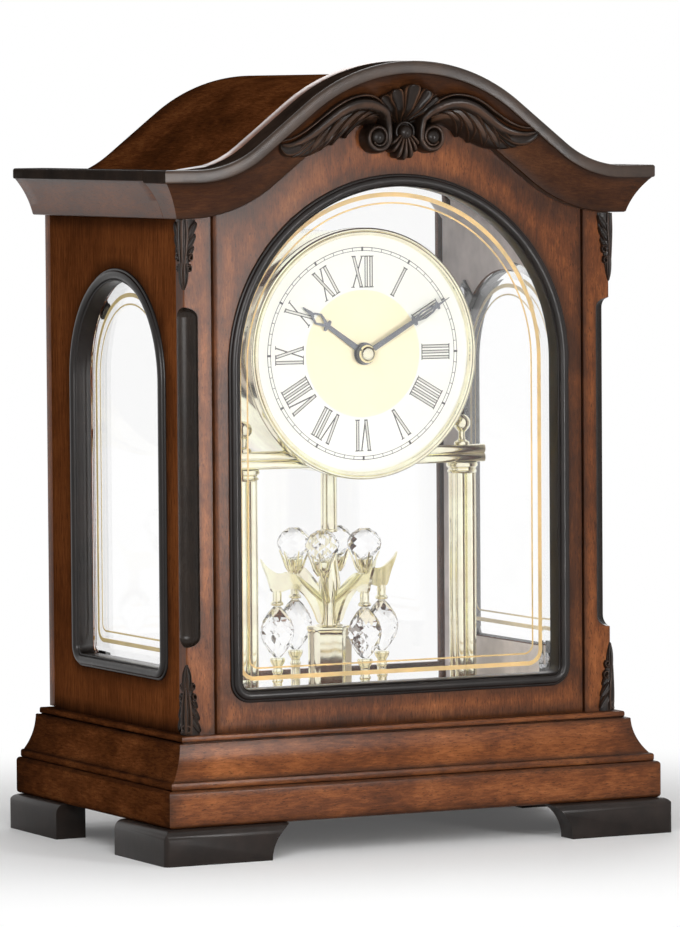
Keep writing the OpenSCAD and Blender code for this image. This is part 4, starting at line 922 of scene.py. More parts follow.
def front_moulding():
    rows = moulding_rows(6.75)
    lines = [arch_line(WIN_HALF, WIN_Z0, WIN_TOP, TRIM_CORNER, o, 96, 10) for o, h in rows]
    rings = [[(lines[i][k][0], FRONT_Y - rows[i][1],
        lines[i][k][1]) for i in range(len(rows))] for k in range(len(lines[0]))]
    make("front_window_moulding_black", Form().add(loft(rings, row_closed=True)), [BLACK_TRIM],
         stands_for=("front_window_moulding",), crease=50)


def side_mouldings():
    rows = moulding_rows(5.95)
    form = Form()
    for s in (-1, 1):
        lines = [arch_line(SIDE_HALF, SIDE_Z0, SIDE_TOP, TRIM_CORNER, o, 80, 10) for o, h in rows]
        form.add(loft([[(s * (HALF_W + rows[i][1]), SIDE_MIDS[s] + lines[i][k][0],
            lines[i][k][1]) for i in range(len(rows))]
                       for k in range(len(lines[0]))], row_closed=True))
    make("side_window_mouldings_black", form, [BLACK_TRIM], stands_for=("side_window_mouldings",),
        crease=50)


def pane(lines_out, place, thick, bevel_d):
    """Pane with a ground bevel round its front face. place turns a drawing point and a depth into space."""
    outer, inner = lines_out
    rings = [[place(x, z, thick) for x, z in outer], [place(x, z, bevel_d) for x, z in outer], [place(x, z,
        0.0) for x, z in inner]]
    points = [p for ring in rings for p in ring]
    n = len(outer)
    faces = [list(reversed(range(n)))]
    for k in range(2):
        for i in range(n):
            j = (i + 1) % n
            faces.append([k * n + i, k * n + j, (k + 1) * n + j, (k + 1) * n + i])
    faces.append([2 * n + i for i in range(n)])
    return points, faces


def glasses():
    outer = arch_line(WIN_HALF, WIN_Z0, WIN_TOP, TRIM_CORNER, -1.0, 96, 10)
    inner = arch_line(WIN_HALF, WIN_Z0, WIN_TOP, TRIM_CORNER, -8.3, 96, 10)
    form = Form().add(pane((outer, inner), lambda x, z, d: (x, SEAM_Y + 0.02 + d, z), 2.45, 0.9))
    make("front_glass_pane", form, [GLASS], stands_for=("front_glass",), crease=1)
    for s, name, node in ((-1, "left_glass_pane", "left_glass"), (1, "right_glass_pane", "right_glass")):
        outer = arch_line(SIDE_HALF, SIDE_Z0, SIDE_TOP, TRIM_CORNER, -HOLE_IN - 0.2, 80, 10)
        inner = arch_line(SIDE_HALF, SIDE_Z0, SIDE_TOP, TRIM_CORNER, -8.0, 80, 10)
        form = Form().add(pane((outer, inner), lambda x, z, d: (s * (90.7 - d), SIDE_MIDS[s] + x, z), 2.5,
            0.7))
        make(name, form, [GLASS], stands_for=(node,), crease=1)


def gold_band(outline, width, place):
    """Thin printed line on the glass: outline(o) gives the window's outline moved out by o."""
    a, b = outline(0.0), outline(-width)
    rings = []
    for (xa, za), (xb, zb) in zip(a, b):
        rings.append([place(xa, za, 0.0), place(xb, zb, 0.0), place(xb, zb, 0.05), place(xa, za, 0.05)])
    return loft(rings, row_closed=True)


def gold_lines():
    def front(half, z0, top, corner):
        return lambda o: arch_line(half, z0, top, corner, o, 96, 10)
    form = Form()
    place = lambda x, z, d: (x, SEAM_Y + 2.47 + d, z)
    form.add(gold_band(front(69.2, 69.4, 264.5, 6.5), 1.7, place))
    form.add(gold_band(front(65.1, 73.9, 260.6, 4.5), 0.7, place))
    make("front_glass_gold_lines", form, [GOLD_LINE], crease=40)
    form = Form()
    for s in (-1, 1):
        place = lambda x, z, d: (s * (90.71 + d), SIDE_MIDS[s] + x, z)
        form.add(gold_band(front(35.3, 79.8, 224.4, 5.5), 1.7, place))
        form.add(gold_band(front(31.0, 84.2, 220.1, 4.0), 0.7, place))
    make("side_glass_gold_lines", form, [GOLD_LINE], crease=40)


front_moulding()
side_mouldings()
glasses()
gold_lines()


# Carvings
CROWN_TOP = np.array(crown_line(0.0))
CREST_PAD, PAD_HALF, PAD_END = 0.8, 15.0, 42.0


def crest_seat(x, z):
    """How far the ground under the crest stands out: the cornice cove above, a pad that thins outward below."""
    a, b = CROWN_TOP[:-1], CROWN_TOP[1:]
    d = b - a
    t = np.clip(((np.array((x, z)) - a) * d).sum(1) / (d * d).sum(1), 0, 1)
    drop = np.sqrt((((np.array((x, z)) - a - t[:, None] * d)) ** 2).sum(1).min())
    share = (19.1 - drop) / 13.7
    cove = 5.2 + 7.7 * share - 3.8 * share * (1 - share) if share > 0 else max(0.0,
        5.2 * (24.0 - drop) / 4.9)
    pad = CREST_PAD * min(1.0, max(0.0, (PAD_END - abs(x)) / (PAD_END - PAD_HALF)))
    return max(pad, min(cove, 12.4))


def leaf(form, points, s=1, shape="dish", per=4, across=8):
    """Leaf or rib of the crest from rows of x, z, half width and height over the ground; s mirrors it."""
    rows = spline([(s * x, z, w, h) for x, z, w, h in points], per)
    part, ridge = relief([r[:2] for r in rows], [max(0.05, r[2]) for r in rows], [max(0.2,
        r[3]) for r in rows], FRONT_Y, shape,
                         across, crest_seat)
    form.add(part, 0, ridge)


def crest_shell(form):
    """Seven dished gadroons that spread from the bead, the middle one foremost."""
    low = 291.0
    for angle, length, half, height in ((66.8, 18.4, 2.2, 0.7), (46.2, 17.3, 2.9, 0.82), (28.0, 16.6, 3.6,
        0.92), (0.0, 16.9, 4.3, 1.0)):
        for s in (-1, 1) if angle else (1,):
            a = radians(angle * s)
            rows = []
            for t, w, h in ((0.0, 0.2, 2.4), (0.22, 0.34, 3.4), (0.48, 0.6, 4.4), (0.7, 0.86, 5.0), (0.84,
                1.0, 5.0),
                            (0.93, 0.94, 4.8), (0.98, 0.66, 4.3), (1.0, 0.25, 3.4)):
                rows.append((sin(a) * length * t, low + cos(a) * length * t, half * w, height * h))
            leaf(form, rows, 1, "dish", 3, 14)


def crest_fan(form):
    """Seven round gadroons that hang under the bead."""
    for angle, length, half in ((58, 9.0, 1.3), (39, 10.6, 1.45), (19, 12.0, 1.55), (0, 12.4, 1.6)):
        for s in (-1, 1) if angle else (1,):
            a = radians(angle * s * 0.8)
            rows = []
            for t, w, h in ((0.0, 0.4, 5.0), (0.35, 0.62, 6.0), (0.7, 0.95, 6.2), (0.9, 1.0, 5.4), (1.0,
                0.4, 3.6)):
                rows.append((sin(a) * length * t, 290.0 - cos(a) * length * t, half * w, h))
            leaf(form, rows, 1, "round", 3, 10)


def crest_bead(form):
    bead = [(0.0, -8.2)] + [(3.1 * sin(pi * i / 14), -5.1 - 3.1 * cos(pi * i / 14)) for i in range(1,
        8)] + [(3.1, -1.0), (0.0, -1.0)]
    form.add(turned(bead, (0, FRONT_Y, 288.9), "Y", 32))
    ring = [(3.9 + 0.6 * cos(2 * pi * i / 12), -5.2 + 0.8 * sin(2 * pi * i / 12)) for i in range(12)]
    form.add(turned(ring, (0, FRONT_Y, 288.9), "Y", 36, closed=True))
    form.add(turned([(0.0, -5.0), (4.1, -5.0), (4.6, -1.0), (0.0, -1.0)], (0, FRONT_Y, 288.9), "Y", 32))


def crest_arm(form, s, droop, draw):
    """Broad stem that winds out of the volute to the tip, with leaves that sweep down from it."""
    def bent(rows):
        out = []
        for x, z, w, h in rows:
            far = max(0.0, x - 22.0) / 36.0
            out.append((x + draw * far, z + droop * far ** 1.6, w, h * (1 - 0.35 * far)))
        return out

    body = [(12.5, 293.5, 2.6, 3.2), (18.0, 295.4, 3.8, 3.8), (24.0, 294.6, 5.0, 3.8), (30.0, 291.6, 5.4,
        3.6), (36.0, 288.2, 5.0, 3.2),
            (42.0, 285.4, 4.2, 2.6), (48.0, 284.2, 3.0, 1.8), (54.0, 284.8, 1.5, 1.0)]
    leaf(form, bent(body), s, "round", 4, 14)
    sweeps = (
        ((12.6, 296.6, 0.7, 4.6), (17.4, 296.8, 1.3, 5.0), (21.6, 294.2, 1.6, 5.0), (24.4, 290.4, 1.4,
            4.2), (25.6, 286.6, 0.3, 2.6)),
        ((16.6, 298.2, 0.8, 4.2), (22.6, 296.8, 1.6, 4.8), (27.2, 292.8, 2.0, 5.0), (30.2, 288.4, 1.7,
            4.4), (31.4, 284.2, 0.3, 2.4)),
        ((22.0, 298.4, 0.9, 3.8), (28.2, 295.8, 1.8, 4.4), (32.8, 291.2, 2.1, 4.6), (35.8, 286.6, 1.8,
            4.0), (37.2, 282.6, 0.3, 2.0)),
        ((28.0, 297.0, 0.9, 3.4), (33.8, 293.4, 1.8, 4.0), (38.2, 289.0, 2.1, 4.2), (41.4, 284.6, 1.7,
            3.6), (43.4, 281.6, 0.3, 1.8)),
        ((34.0, 294.0, 0.9, 3.0), (39.8, 289.8, 1.8, 3.6), (44.4, 286.0, 2.1, 3.8), (48.2, 283.0, 1.6,
            3.0), (51.2, 281.8, 0.3, 1.4)))
    for rows in sweeps:
        leaf(form, bent(rows), s, "dish", 5, 12)
    tip = ((40.0, 290.4, 1.0, 2.8), (45.0, 287.4, 2.3, 3.6), (50.0, 285.2, 2.9, 4.0), (54.4, 284.8, 2.5,
        4.0), (57.6, 286.4, 1.3, 3.6),
           (58.8, 288.0, 0.3, 2.6))
    leaf(form, bent(tip), s, "dish", 5, 12)
    fillet = ((9.6, 297.6, 0.5, 3.6), (13.2, 301.4, 0.7, 3.6), (19.0, 303.6, 0.75, 3.4), (26.0, 303.0,
        0.75, 3.2), (33.0, 300.2, 0.75, 3.0),
              (39.5, 296.0, 0.7, 2.8), (46.0, 292.0, 0.65, 2.6), (52.0, 289.7, 0.55, 2.4), (58.0, 289.2,
                  0.3, 2.0))
    leaf(form, bent(fillet), s, "round", 5, 8)
    scroll = []
    for i in range(25):
        t = i / 24
        a = radians(180 + 500 * (1 - t))
        r = 2.9 + 2.2 * t
        scroll.append((12.3 + r * cos(a), 286.9 + r * sin(a) * 1.05, 1.0 + 1.0 * t, 6.2 + 0.2 * t))
    scroll += [(8.2, 293.9, 2.3, 6.6), (12.4, 297.9, 2.8, 5.8), (18.5, 299.8, 3.1, 5.2), (25.0, 299.4, 3.1,
        5.0), (31.5, 296.8, 2.9, 4.8),
               (37.5, 292.9, 2.6, 4.5), (43.0, 289.4, 2.3, 4.2), (49.0, 287.2, 1.8, 3.8), (54.0, 286.8,
                   1.2, 3.2), (57.8, 287.6, 0.4, 2.4)]
    leaf(form, bent(scroll), s, "round", 2, 14)
    eye = [(0.0, -8.0), (1.4, -7.7), (2.5, -6.9), (3.1, -5.7), (3.2, -4.6), (5.0, -4.0), (5.4, -0.5), (0.0,
        -0.5)]
    form.add(turned(eye, (s * 12.4, FRONT_Y, 287.0), "Y", 32))


def crest():
    form = Form()
    crest_shell(form)
    crest_fan(form)
    crest_bead(form)
    for s, droop, draw in ((-1, -3.4, 1.0), (1, 0.9, -2.2)):
        crest_arm(form, s, droop, draw)
    make("crest_carving_black", form, [BLACK_CARVED], stands_for=("crest_carving",),
        crease=60)


def wrap(u, h, z, s):
    """Puts a drawing point on the corner: u to the front face or, below zero, to the side face; h stands out."""
    c = 1.2
    if u > c:
        x, y = -HALF_W + u, FRONT_Y - h
    elif u < -c:
        x, y = -HALF_W - h, FRONT_Y - u
    else:
        a = (u + c) / (2 * c) * pi / 2
        x, y = -HALF_W + c - (c + h) * cos(a), FRONT_Y + c - (c + h) * sin(a)
    return (x * -s, y, z)


CORNER_REACH = 0.74


def corner_leaf(form, z_wide, z_tip, s, bead):
    """Acanthus drop on a front corner: solid body, three tiers of leaves, two curls, and a ribbed tail."""
    way = z_tip - z_wide

    def petal(points, shape="dish", across=8, per=4):
        rows = spline(points, per)
        part, ridge = relief([r[:2] for r in rows], [max(0.05, r[2]) for r in rows], [max(0.12,
            r[3]) for r in rows], 0.0,
                             shape, across)
        form.add(([wrap(x * CORNER_REACH, -y, z_wide + way * z / 28.4, s) for x, y, z in part[0]],
            part[1]), 0, ridge)

    petal([(0, 0.1, 7.4, 1.15), (0, 5, 7.0, 1.3), (0, 10, 5.6, 1.3), (0, 14, 4.2, 1.25), (0, 20, 3.2, 1.1),
        (0, 25, 2.2, 0.9),
           (0, 28.3, 0.8, 0.5)], "round", 24)
    for side in (-1, 1):
        for z0, reach, z1, half, height in ((12.4, 5.6, 11.2, 1.35, 1.75), (8.2, 6.6, 6.4, 1.6, 1.9), (3.8,
            7.3, 1.6, 1.8, 1.95)):
            petal([(side * 0.5, z0 + 3.2, 0.8, height * 0.8), (side * reach * 0.4, z0 + 2.2, half, height),
                   (side * reach * 0.72, (z0 + z1) / 2 + 0.8, half, height), (side * reach * 0.93,
                       z1 + 0.3, half * 0.6, height * 0.85),
                   (side * reach, z1 - 0.5, 0.3, height * 0.6)], "dish", 10)
        for z0, out, r in ((15.2, 3.5, 1.75), (19.6, 2.9, 1.45)):
            rows = []
            for i in range(15):
                t = i / 14
                a = radians(230 + 430 * t)
                reach = r * (1 - 0.6 * t)
                rows.append((side * (out + reach * cos(a)), z0 + reach * sin(a), 0.6 - 0.15 * t,
                    1.65 + 0.25 * t))
            petal(rows, "round", 8, 2)
        for lean, half in ((0.55, 0.6), (1.6, 0.5)):
            petal([(side * lean, 17.5, half, 1.5), (side * lean * 1.15, 21.5, half, 1.6), (side * lean,
                25.0, half * 0.8, 1.35),
                   (side * lean * 0.4, 28.0, 0.2, 0.7)], "round", 6)
        petal([(side * 1.5, 0.6, 0.9, 1.95), (side * 1.7, 6.0, 0.95, 2.1), (side * 1.3, 12.0, 0.7, 1.95),
            (side * 0.8, 18.0, 0.35, 1.6)],
              "round", 8)
    petal([(0, 0.2, 1.0, 1.95), (0, 7, 0.95, 2.15), (0, 14, 0.7, 1.95), (0, 19, 0.4, 1.7)], "round", 8)
    if bead:
        rows = [(1.5 * cos(2 * pi * i / 12), 2.4 + 1.5 * sin(2 * pi * i / 12), 0.7, 2.1) for i in range(13)]
        petal(rows, "round", 6, 2)


def corner_carvings():
    top = FLAT_Z - CORNICE_H
    form = Form()
    for s in (-1, 1):
        corner_leaf(form, top - 0.1, top - 28.4, s, False)
    make("upper_corner_carvings_black", form, [BLACK_CARVED], stands_for=("upper_corner_carvings",),
        crease=60)
    form = Form()
    for s in (-1, 1):
        corner_leaf(form, BODY_Z + 0.1, BODY_Z + 28.4, s, True)
    make("lower_corner_carvings_black", form, [BLACK_CARVED], stands_for=("lower_corner_carvings",),
        crease=60)


crest()
corner_carvings()


# Dial
def dial_disc():
    form = Form()
    form.add(turned([(2.8, 0.0), (26.0, 0.0), (49.9, 0.0), (49.9, 0.95), (2.8, 0.95)], (0, DIAL_Y, DIAL_Z),
        "Y", 128, closed=True))
    make("dial_disc", form, [DIAL], stands_for=("dial",), crease=40)


def flat_ring(r0, r1, y0, y1, steps=180):
    return turned([(r0, y0), (r1, y0), (r1, y1), (r0, y1)], (0, 0, DIAL_Z), "Y", steps, closed=True)


def stroke(a, b, wide):
    """Bar of a numeral from a to b, cut level at both ends."""
    w = wide / 2
    return [(a[0] - w, a[1]), (a[0] + w, a[1]), (b[0] + w, b[1]), (b[0] - w, b[1])]


def numeral(letters, height=13.0, thick=1.5, thin=0.55, gap=0.75):
    """Outlines of a Roman numeral standing on z = 0: dark strokes, then the light insides of the thick ones."""
    dark, light = [], []
    x = 0.0
    for letter in letters:
        if letter == "I":
            width = thick
            dark.append(stroke((x + thick / 2, 0), (x + thick / 2, height), thick))
            light.append(stroke((x + thick / 2, 0.5), (x + thick / 2, height - 0.5), thick - 0.75))
            for z in (0.0, height - 0.35):
                dark.append([(x - 0.35, z), (x + thick + 0.35, z), (x + thick + 0.35, z + 0.35), (x - 0.35,
                    z + 0.35)])
        else:
            width = 4.6 if letter == "V" else 5.0
            if letter == "V":
                strokes = [((x + 0.7, height), (x + width / 2, 0), thick), ((x + width - 0.3, height),
                    (x + width / 2 + 0.2, 0), thin)]
                ends = ((x - 0.2, x + 1.7, height - 0.35), (x + width - 1.1, x + width + 0.4, height - 0.35))
            else:
                strokes = [((x + 0.7, height), (x + width - 0.7, 0), thick), ((x + width - 0.4, height),
                    (x + 0.4, 0), thin)]
                ends = ((x - 0.2, x + 1.7, height - 0.35), (x + width - 1.1, x + width + 0.4, height - 0.35),
                        (x - 0.4, x + 1.2, 0.0), (x + width - 1.7, x + width + 0.2, 0.0))
            for a, b, w in strokes:
                dark.append(stroke(a, b, w))
                if w == thick:
                    cut = 0.045
                    a2 = (a[0] + (b[0] - a[0]) * cut, a[1] + (b[1] - a[1]) * cut)
                    b2 = (b[0] + (a[0] - b[0]) * cut, b[1] + (a[1] - b[1]) * cut)
                    light.append(stroke(a2, b2, thick - 0.75))
            for x0, x1, z in ends:
                dark.append([(x0, z), (x1, z), (x1, z + 0.35), (x0, z + 0.35)])
        x += width + gap
    half = (x - gap) / 2
    return [[(px - half, pz) for px, pz in q] for q in dark], [[(px - half, pz) for px,
        pz in q] for q in light]


def dial_numerals():
    form = Form()
    for hour, letters in enumerate(("I", "II", "III", "IIII", "V", "VI", "VII", "VIII", "IX", "X", "XI",
        "XII"), 1):
        a = radians(30 * hour)
        dark, light = numeral(letters)
        for k, (quads, y0, y1, finish) in enumerate(((dark, DIAL_Y - 0.04, DIAL_Y + 0.01, 0), (light,
            DIAL_Y - 0.055, DIAL_Y + 0.01, 1))):
            for n, q in enumerate(quads):
                slip = 0.0012 * n
                rings = []
                for y in (y0 - slip, y1):
                    ring = []
                    for px, pz in q:
                        r = 27.0 + pz
                        ring.append((px * cos(a) + r * sin(a), y, DIAL_Z - px * sin(a) + r * cos(a)))
                    rings.append(ring)
                form.add(loft(rings), finish)
    for r0, r1 in ((43.28, 43.55), (42.0, 42.22)):
        form.add(flat_ring(r0, r1, DIAL_Y - 0.04, DIAL_Y + 0.01))
    make("dial_numerals", form, [PRINT, PRINT_LIGHT], crease=30, weld=0.00005)


# Geometry node trees for what repeats
def new_tree(name, inputs):
    tree = bpy.data.node_groups.new(name, "GeometryNodeTree")
    tree.interface.new_socket(name="Geometry", in_out="INPUT", socket_type="NodeSocketGeometry")
    tree.interface.new_socket(name="Geometry", in_out="OUTPUT", socket_type="NodeSocketGeometry")
    sockets = {}
    for label, kind, value in inputs:
        s = tree.interface.new_socket(name=label, in_out="INPUT", socket_type=kind)
        s.default_value = value
        sockets[label] = s.identifier
    return tree, sockets, tree.nodes.new("NodeGroupInput"), tree.nodes.new("NodeGroupOutput")


def ring_tree():
    """Bars set round a circle about the Y axis, each pointing at the middle."""
    tree, ids, start, end = new_tree("bars_round_a_circle", [
        ("Count", "NodeSocketInt", 60), ("Radius", "NodeSocketFloat", 0.04), ("Bar Width",
            "NodeSocketFloat", 0.0003),
        ("Bar Length", "NodeSocketFloat", 0.001), ("Bar Depth", "NodeSocketFloat", 0.0001), ("First Angle",
            "NodeSocketFloat", 0.0)])
    n, link = tree.nodes, tree.links.new
    line = n.new("GeometryNodeMeshLine")
    link(start.outputs["Count"], line.inputs["Count"])
    line.inputs["Offset"].default_value = (0, 0, 0)
    index = n.new("GeometryNodeInputIndex")
    turn_step = n.new("ShaderNodeMath")
    turn_step.operation = "DIVIDE"
    turn_step.inputs[0].default_value = 2 * pi
    link(start.outputs["Count"], turn_step.inputs[1])
    angle = n.new("ShaderNodeMath")
    angle.operation = "MULTIPLY_ADD"
    link(index.outputs["Index"], angle.inputs[0])
    link(turn_step.outputs[0], angle.inputs[1])
    link(start.outputs["First Angle"], angle.inputs[2])
    sine, cosine = n.new("ShaderNodeMath"), n.new("ShaderNodeMath")
    sine.operation, cosine.operation = "SINE", "COSINE"
    link(angle.outputs[0], sine.inputs[0])
    link(angle.outputs[0], cosine.inputs[0])
    xs, zs = n.new("ShaderNodeMath"), n.new("ShaderNodeMath")
    xs.operation = zs.operation = "MULTIPLY"
    link(sine.outputs[0], xs.inputs[0])
    link(start.outputs["Radius"], xs.inputs[1])
    link(cosine.outputs[0], zs.inputs[0])
    link(start.outputs["Radius"], zs.inputs[1])
    spot = n.new("ShaderNodeCombineXYZ")
    link(xs.outputs[0], spot.inputs["X"])
    link(zs.outputs[0], spot.inputs["Z"])
    move = n.new("GeometryNodeSetPosition")
    link(line.outputs["Mesh"], move.inputs["Geometry"])
    link(spot.outputs["Vector"], move.inputs["Position"])
    bar = n.new("GeometryNodeMeshCube")
    size = n.new("ShaderNodeCombineXYZ")
    link(start.outputs["Bar Width"], size.inputs["X"])
    link(start.outputs["Bar Depth"], size.inputs["Y"])
    link(start.outputs["Bar Length"], size.inputs["Z"])
    link(size.outputs["Vector"], bar.inputs["Size"])
    face = n.new("ShaderNodeCombineXYZ")
    link(angle.outputs[0], face.inputs["Y"])
    instances = n.new("GeometryNodeInstanceOnPoints")
    link(move.outputs["Geometry"], instances.inputs["Points"])
    link(bar.outputs["Mesh"], instances.inputs["Instance"])
    link(face.outputs["Vector"], instances.inputs["Rotation"])
    real = n.new("GeometryNodeRealizeInstances")
    link(instances.outputs["Instances"], real.inputs["Geometry"])
    coat = n.new("GeometryNodeSetMaterial")
    link(real.outputs["Geometry"], coat.inputs["Geometry"])
    link(coat.outputs["Geometry"], end.inputs["Geometry"])
    return tree, ids, coat


def grown(name, tree_maker, values, finish, middle, body, host=None, crease=32, stands_for=()):
    """Runs a tree, turns its result into a plain mesh in place, and sets it on its body."""
    tree, ids, coat = tree_maker()
    coat.inputs["Material"].default_value = finish
    seed = bpy.data.objects.new(name + "_seed", host or bpy.data.meshes.new(name + "_seed"))
    bpy.context.scene.collection.objects.link(seed)
    mod = seed.modifiers.new("made", "NODES")
    mod.node_group = tree
    for label, v in values.items():
        mod[ids[label]] = v
    mesh = bpy.data.meshes.new_from_object(seed.evaluated_get(bpy.context.evaluated_depsgraph_get()))
    seed.modifiers.clear()
    bpy.data.objects.remove(seed)
    mesh.name = name
    mesh.transform(Matrix.Translation(Vector(middle) * MM))
    return stand(name, mesh, [finish], body, stands_for, crease)


def screw_tree():
    """Slotted screw heads on the points of the host mesh, turned to its normals."""
    tree, ids, start, end = new_tree("slotted_screw_heads", [
        ("Head Radius", "NodeSocketFloat", 0.0023), ("Head Height", "NodeSocketFloat",
            0.001), ("Slot Width", "NodeSocketFloat", 0.0006),
        ("Slot Depth", "NodeSocketFloat", 0.0005), ("Seed", "NodeSocketInt", 7)])
    n, link = tree.nodes, tree.links.new
    head = n.new("GeometryNodeMeshCylinder")
    head.inputs["Vertices"].default_value = 28
    link(start.outputs["Head Radius"], head.inputs["Radius"])
    link(start.outputs["Head Height"], head.inputs["Depth"])
    slot_box = n.new("GeometryNodeMeshCube")
    size = n.new("ShaderNodeCombineXYZ")
    size.inputs["X"].default_value = 0.008
    link(start.outputs["Slot Width"], size.inputs["Y"])
    link(start.outputs["Slot Depth"], size.inputs["Z"])
    link(size.outputs["Vector"], slot_box.inputs["Size"])
    raise_slot = n.new("GeometryNodeTransform")
    half = n.new("ShaderNodeMath")
    half.operation = "MULTIPLY"
    half.inputs[1].default_value = 0.5
    link(start.outputs["Head Height"], half.inputs[0])
    lift = n.new("ShaderNodeCombineXYZ")
    link(half.outputs[0], lift.inputs["Z"])
    link(slot_box.outputs["Mesh"], raise_slot.inputs["Geometry"])
    link(lift.outputs["Vector"], raise_slot.inputs["Translation"])
    cut = n.new("GeometryNodeMeshBoolean")
    cut.operation = "DIFFERENCE"
    link(head.outputs["Mesh"], cut.inputs["Mesh 1"])
    link(raise_slot.outputs["Geometry"], cut.inputs["Mesh 2"])
    way = n.new("GeometryNodeInputNamedAttribute")
    way.data_type = "FLOAT_VECTOR"
    way.inputs["Name"].default_value = "way"
    align = n.new("FunctionNodeAlignRotationToVector")
    link(way.outputs["Attribute"], align.inputs["Vector"])
    spin_value = n.new("FunctionNodeRandomValue")
    spin_value.data_type = "FLOAT"
    spin_value.inputs["Min"].default_value = 0.0
    spin_value.inputs["Max"].default_value = 3.0
    link(start.outputs["Seed"], spin_value.inputs["Seed"])
    spin_turn = n.new("FunctionNodeAxisAngleToRotation")
    link(spin_value.outputs["Value"], spin_turn.inputs["Angle"])
    both = n.new("FunctionNodeRotateRotation")
    both.rotation_space = "LOCAL"
    link(align.outputs["Rotation"], both.inputs["Rotation"])
    link(spin_turn.outputs["Rotation"], both.inputs["Rotate By"])
    instances = n.new("GeometryNodeInstanceOnPoints")
    link(start.outputs["Geometry"], instances.inputs["Points"])
    link(cut.outputs["Mesh"], instances.inputs["Instance"])
    link(both.outputs["Rotation"], instances.inputs["Rotation"])
    real = n.new("GeometryNodeRealizeInstances")
    link(instances.outputs["Instances"], real.inputs["Geometry"])
    coat = n.new("GeometryNodeSetMaterial")
    link(real.outputs["Geometry"], coat.inputs["Geometry"])
    link(coat.outputs["Geometry"], end.inputs["Geometry"])
    return tree, ids, coat


def points_host(name, spots, ways):
    mesh = bpy.data.meshes.new(name)
    mesh.from_pydata([Vector(p) * MM for p in spots], [], [])
    way = mesh.attributes.new("way", "FLOAT_VECTOR", "POINT")
    way.data.foreach_set("vector", np.array(ways, np.float32).ravel())
    return mesh


def minute_track():
    grown("minute_ticks", ring_tree, {"Count": 60, "Radius": 42.75 * MM, "Bar Width": 0.24 * MM,
        "Bar Length": 1.3 * MM,
                                      "Bar Depth": 0.05 * MM}, PRINT, (0, DIAL_Y - 0.015, DIAL_Z), "case")
    grown("five_minute_ticks", ring_tree, {"Count": 12, "Radius": 42.78 * MM, "Bar Width": 0.85 * MM,
        "Bar Length": 1.75 * MM,
                                           "Bar Depth": 0.06 * MM}, PRINT, (0, DIAL_Y - 0.02, DIAL_Z), "case")


def hand(name, node, body, angle, length, y, thick, half_line, holes, hub, bore):
    def lift(x, z, k):
        a = radians(angle)
        return (x * cos(a) + z * sin(a), y + (thick if k else 0.0), DIAL_Z - x * sin(a) + z * cos(a))

    # Blade and hub share one outline: the blade starts where it meets the hub
    start_x = half_line[0][0]
    a0 = acos(start_x / hub)
    arc = [(hub * cos(pi - a0 + (pi + 2 * a0) * i / 36),
        hub * sin(pi - a0 + (pi + 2 * a0) * i / 36)) for i in range(37)]
    outer = half_line[1:] + [(-x, z) for x, z in reversed(half_line[1:])] + arc
    hole = [(bore * cos(2 * pi * i / 28), -bore * sin(2 * pi * i / 28)) for i in range(28)]
    form = Form().add(plate([outer, hole] + holes, lift))
    make(name, form, [HAND], body, (node,), 30)


def hands():
    hour = [(1.2, 4.4), (1.0, 12.0), (0.85, 19.6), (2.4, 20.0), (2.4, 20.9), (0.9, 21.4), (1.4, 22.0),
        (2.55, 25.6), (1.35, 28.2),
            (0.7, 29.0), (0.75, 30.2), (0.12, 34.0)]
    leaf_hole = [(0.15, 22.3), (1.75, 25.5), (0.75, 27.7), (0.0, 28.3), (-0.75, 27.7), (-1.75, 25.5),
        (-0.15, 22.3)]
    hand("hour_hand_grey", "hour_hand", "hour_set", 305, 34, -25.6, 0.55, hour, [leaf_hole[::-1]], 4.6, 2.4)
    minute = [(1.1, 4.1), (1.0, 14.0), (0.85, 25.0), (2.0, 25.5), (2.0, 26.4), (0.75, 26.9), (1.2, 28.0),
        (1.9, 31.0), (1.5, 35.0),
              (0.7, 37.4), (1.7, 37.9), (1.7, 38.5), (0.45, 39.0), (0.3, 41.0), (0.1, 44.5)]
    slits = [[(0.25, 28.6), (0.75, 28.8), (1.25, 31.0), (1.0, 34.4), (0.3, 36.4)], [(-0.25, 28.6), (-0.3,
        36.4), (-1.0, 34.4), (-1.25, 31.0), (-0.75, 28.8)]]
    hand("minute_hand_grey", "minute_hand", "minute_set", 60, 44.5, -27.2, 0.55, minute, slits, 4.2, 1.0)
    form = Form().add(turned([(0.0, -3.86), (1.3, -3.66), (2.5, -3.05), (3.35, -2.1), (3.7, -1.1), (3.7,
        -0.5), (3.5, 0.0),
                              (0.0, 0.0)], (0, -27.2, DIAL_Z), "Y", 40))
    make("hand_cap_brass", form, [BRASS], "minute_set", ("hand_cap",), 40)


def bezel():
    rows = [(48.4, 2.5), (48.4, 0.9), (48.7, 0.35)]
    rows += [(49.35 + 0.62 * cos(pi - pi * i / 8), 0.25 - 0.25 * sin(pi * i / 8)) for i in range(9)]
    rows += [(50.05, 0.55), (50.3, 0.4)]
    rows += [(50.75 + 0.75 * cos(pi * 0.75 - pi * 0.75 * i / 8),
        1.15 - 0.75 * sin(pi * 0.75 - pi * 0.75 * i / 8)) for i in range(9)]
    rows += [(51.5, 1.6), (51.5, 4.6), (51.2, 5.0), (51.2, 5.5), (51.5, 5.8), (51.5, 6.5), (50.15, 6.5),
        (50.15, 2.5)]
    make("bezel_brass", Form().add(turned(rows, (0, -26.5, DIAL_Z), "Y", 144, closed=True)), [BRASS],
        stands_for=("bezel",),
         crease=28)


dial_disc()
dial_numerals()
minute_track()
hands()
bezel()


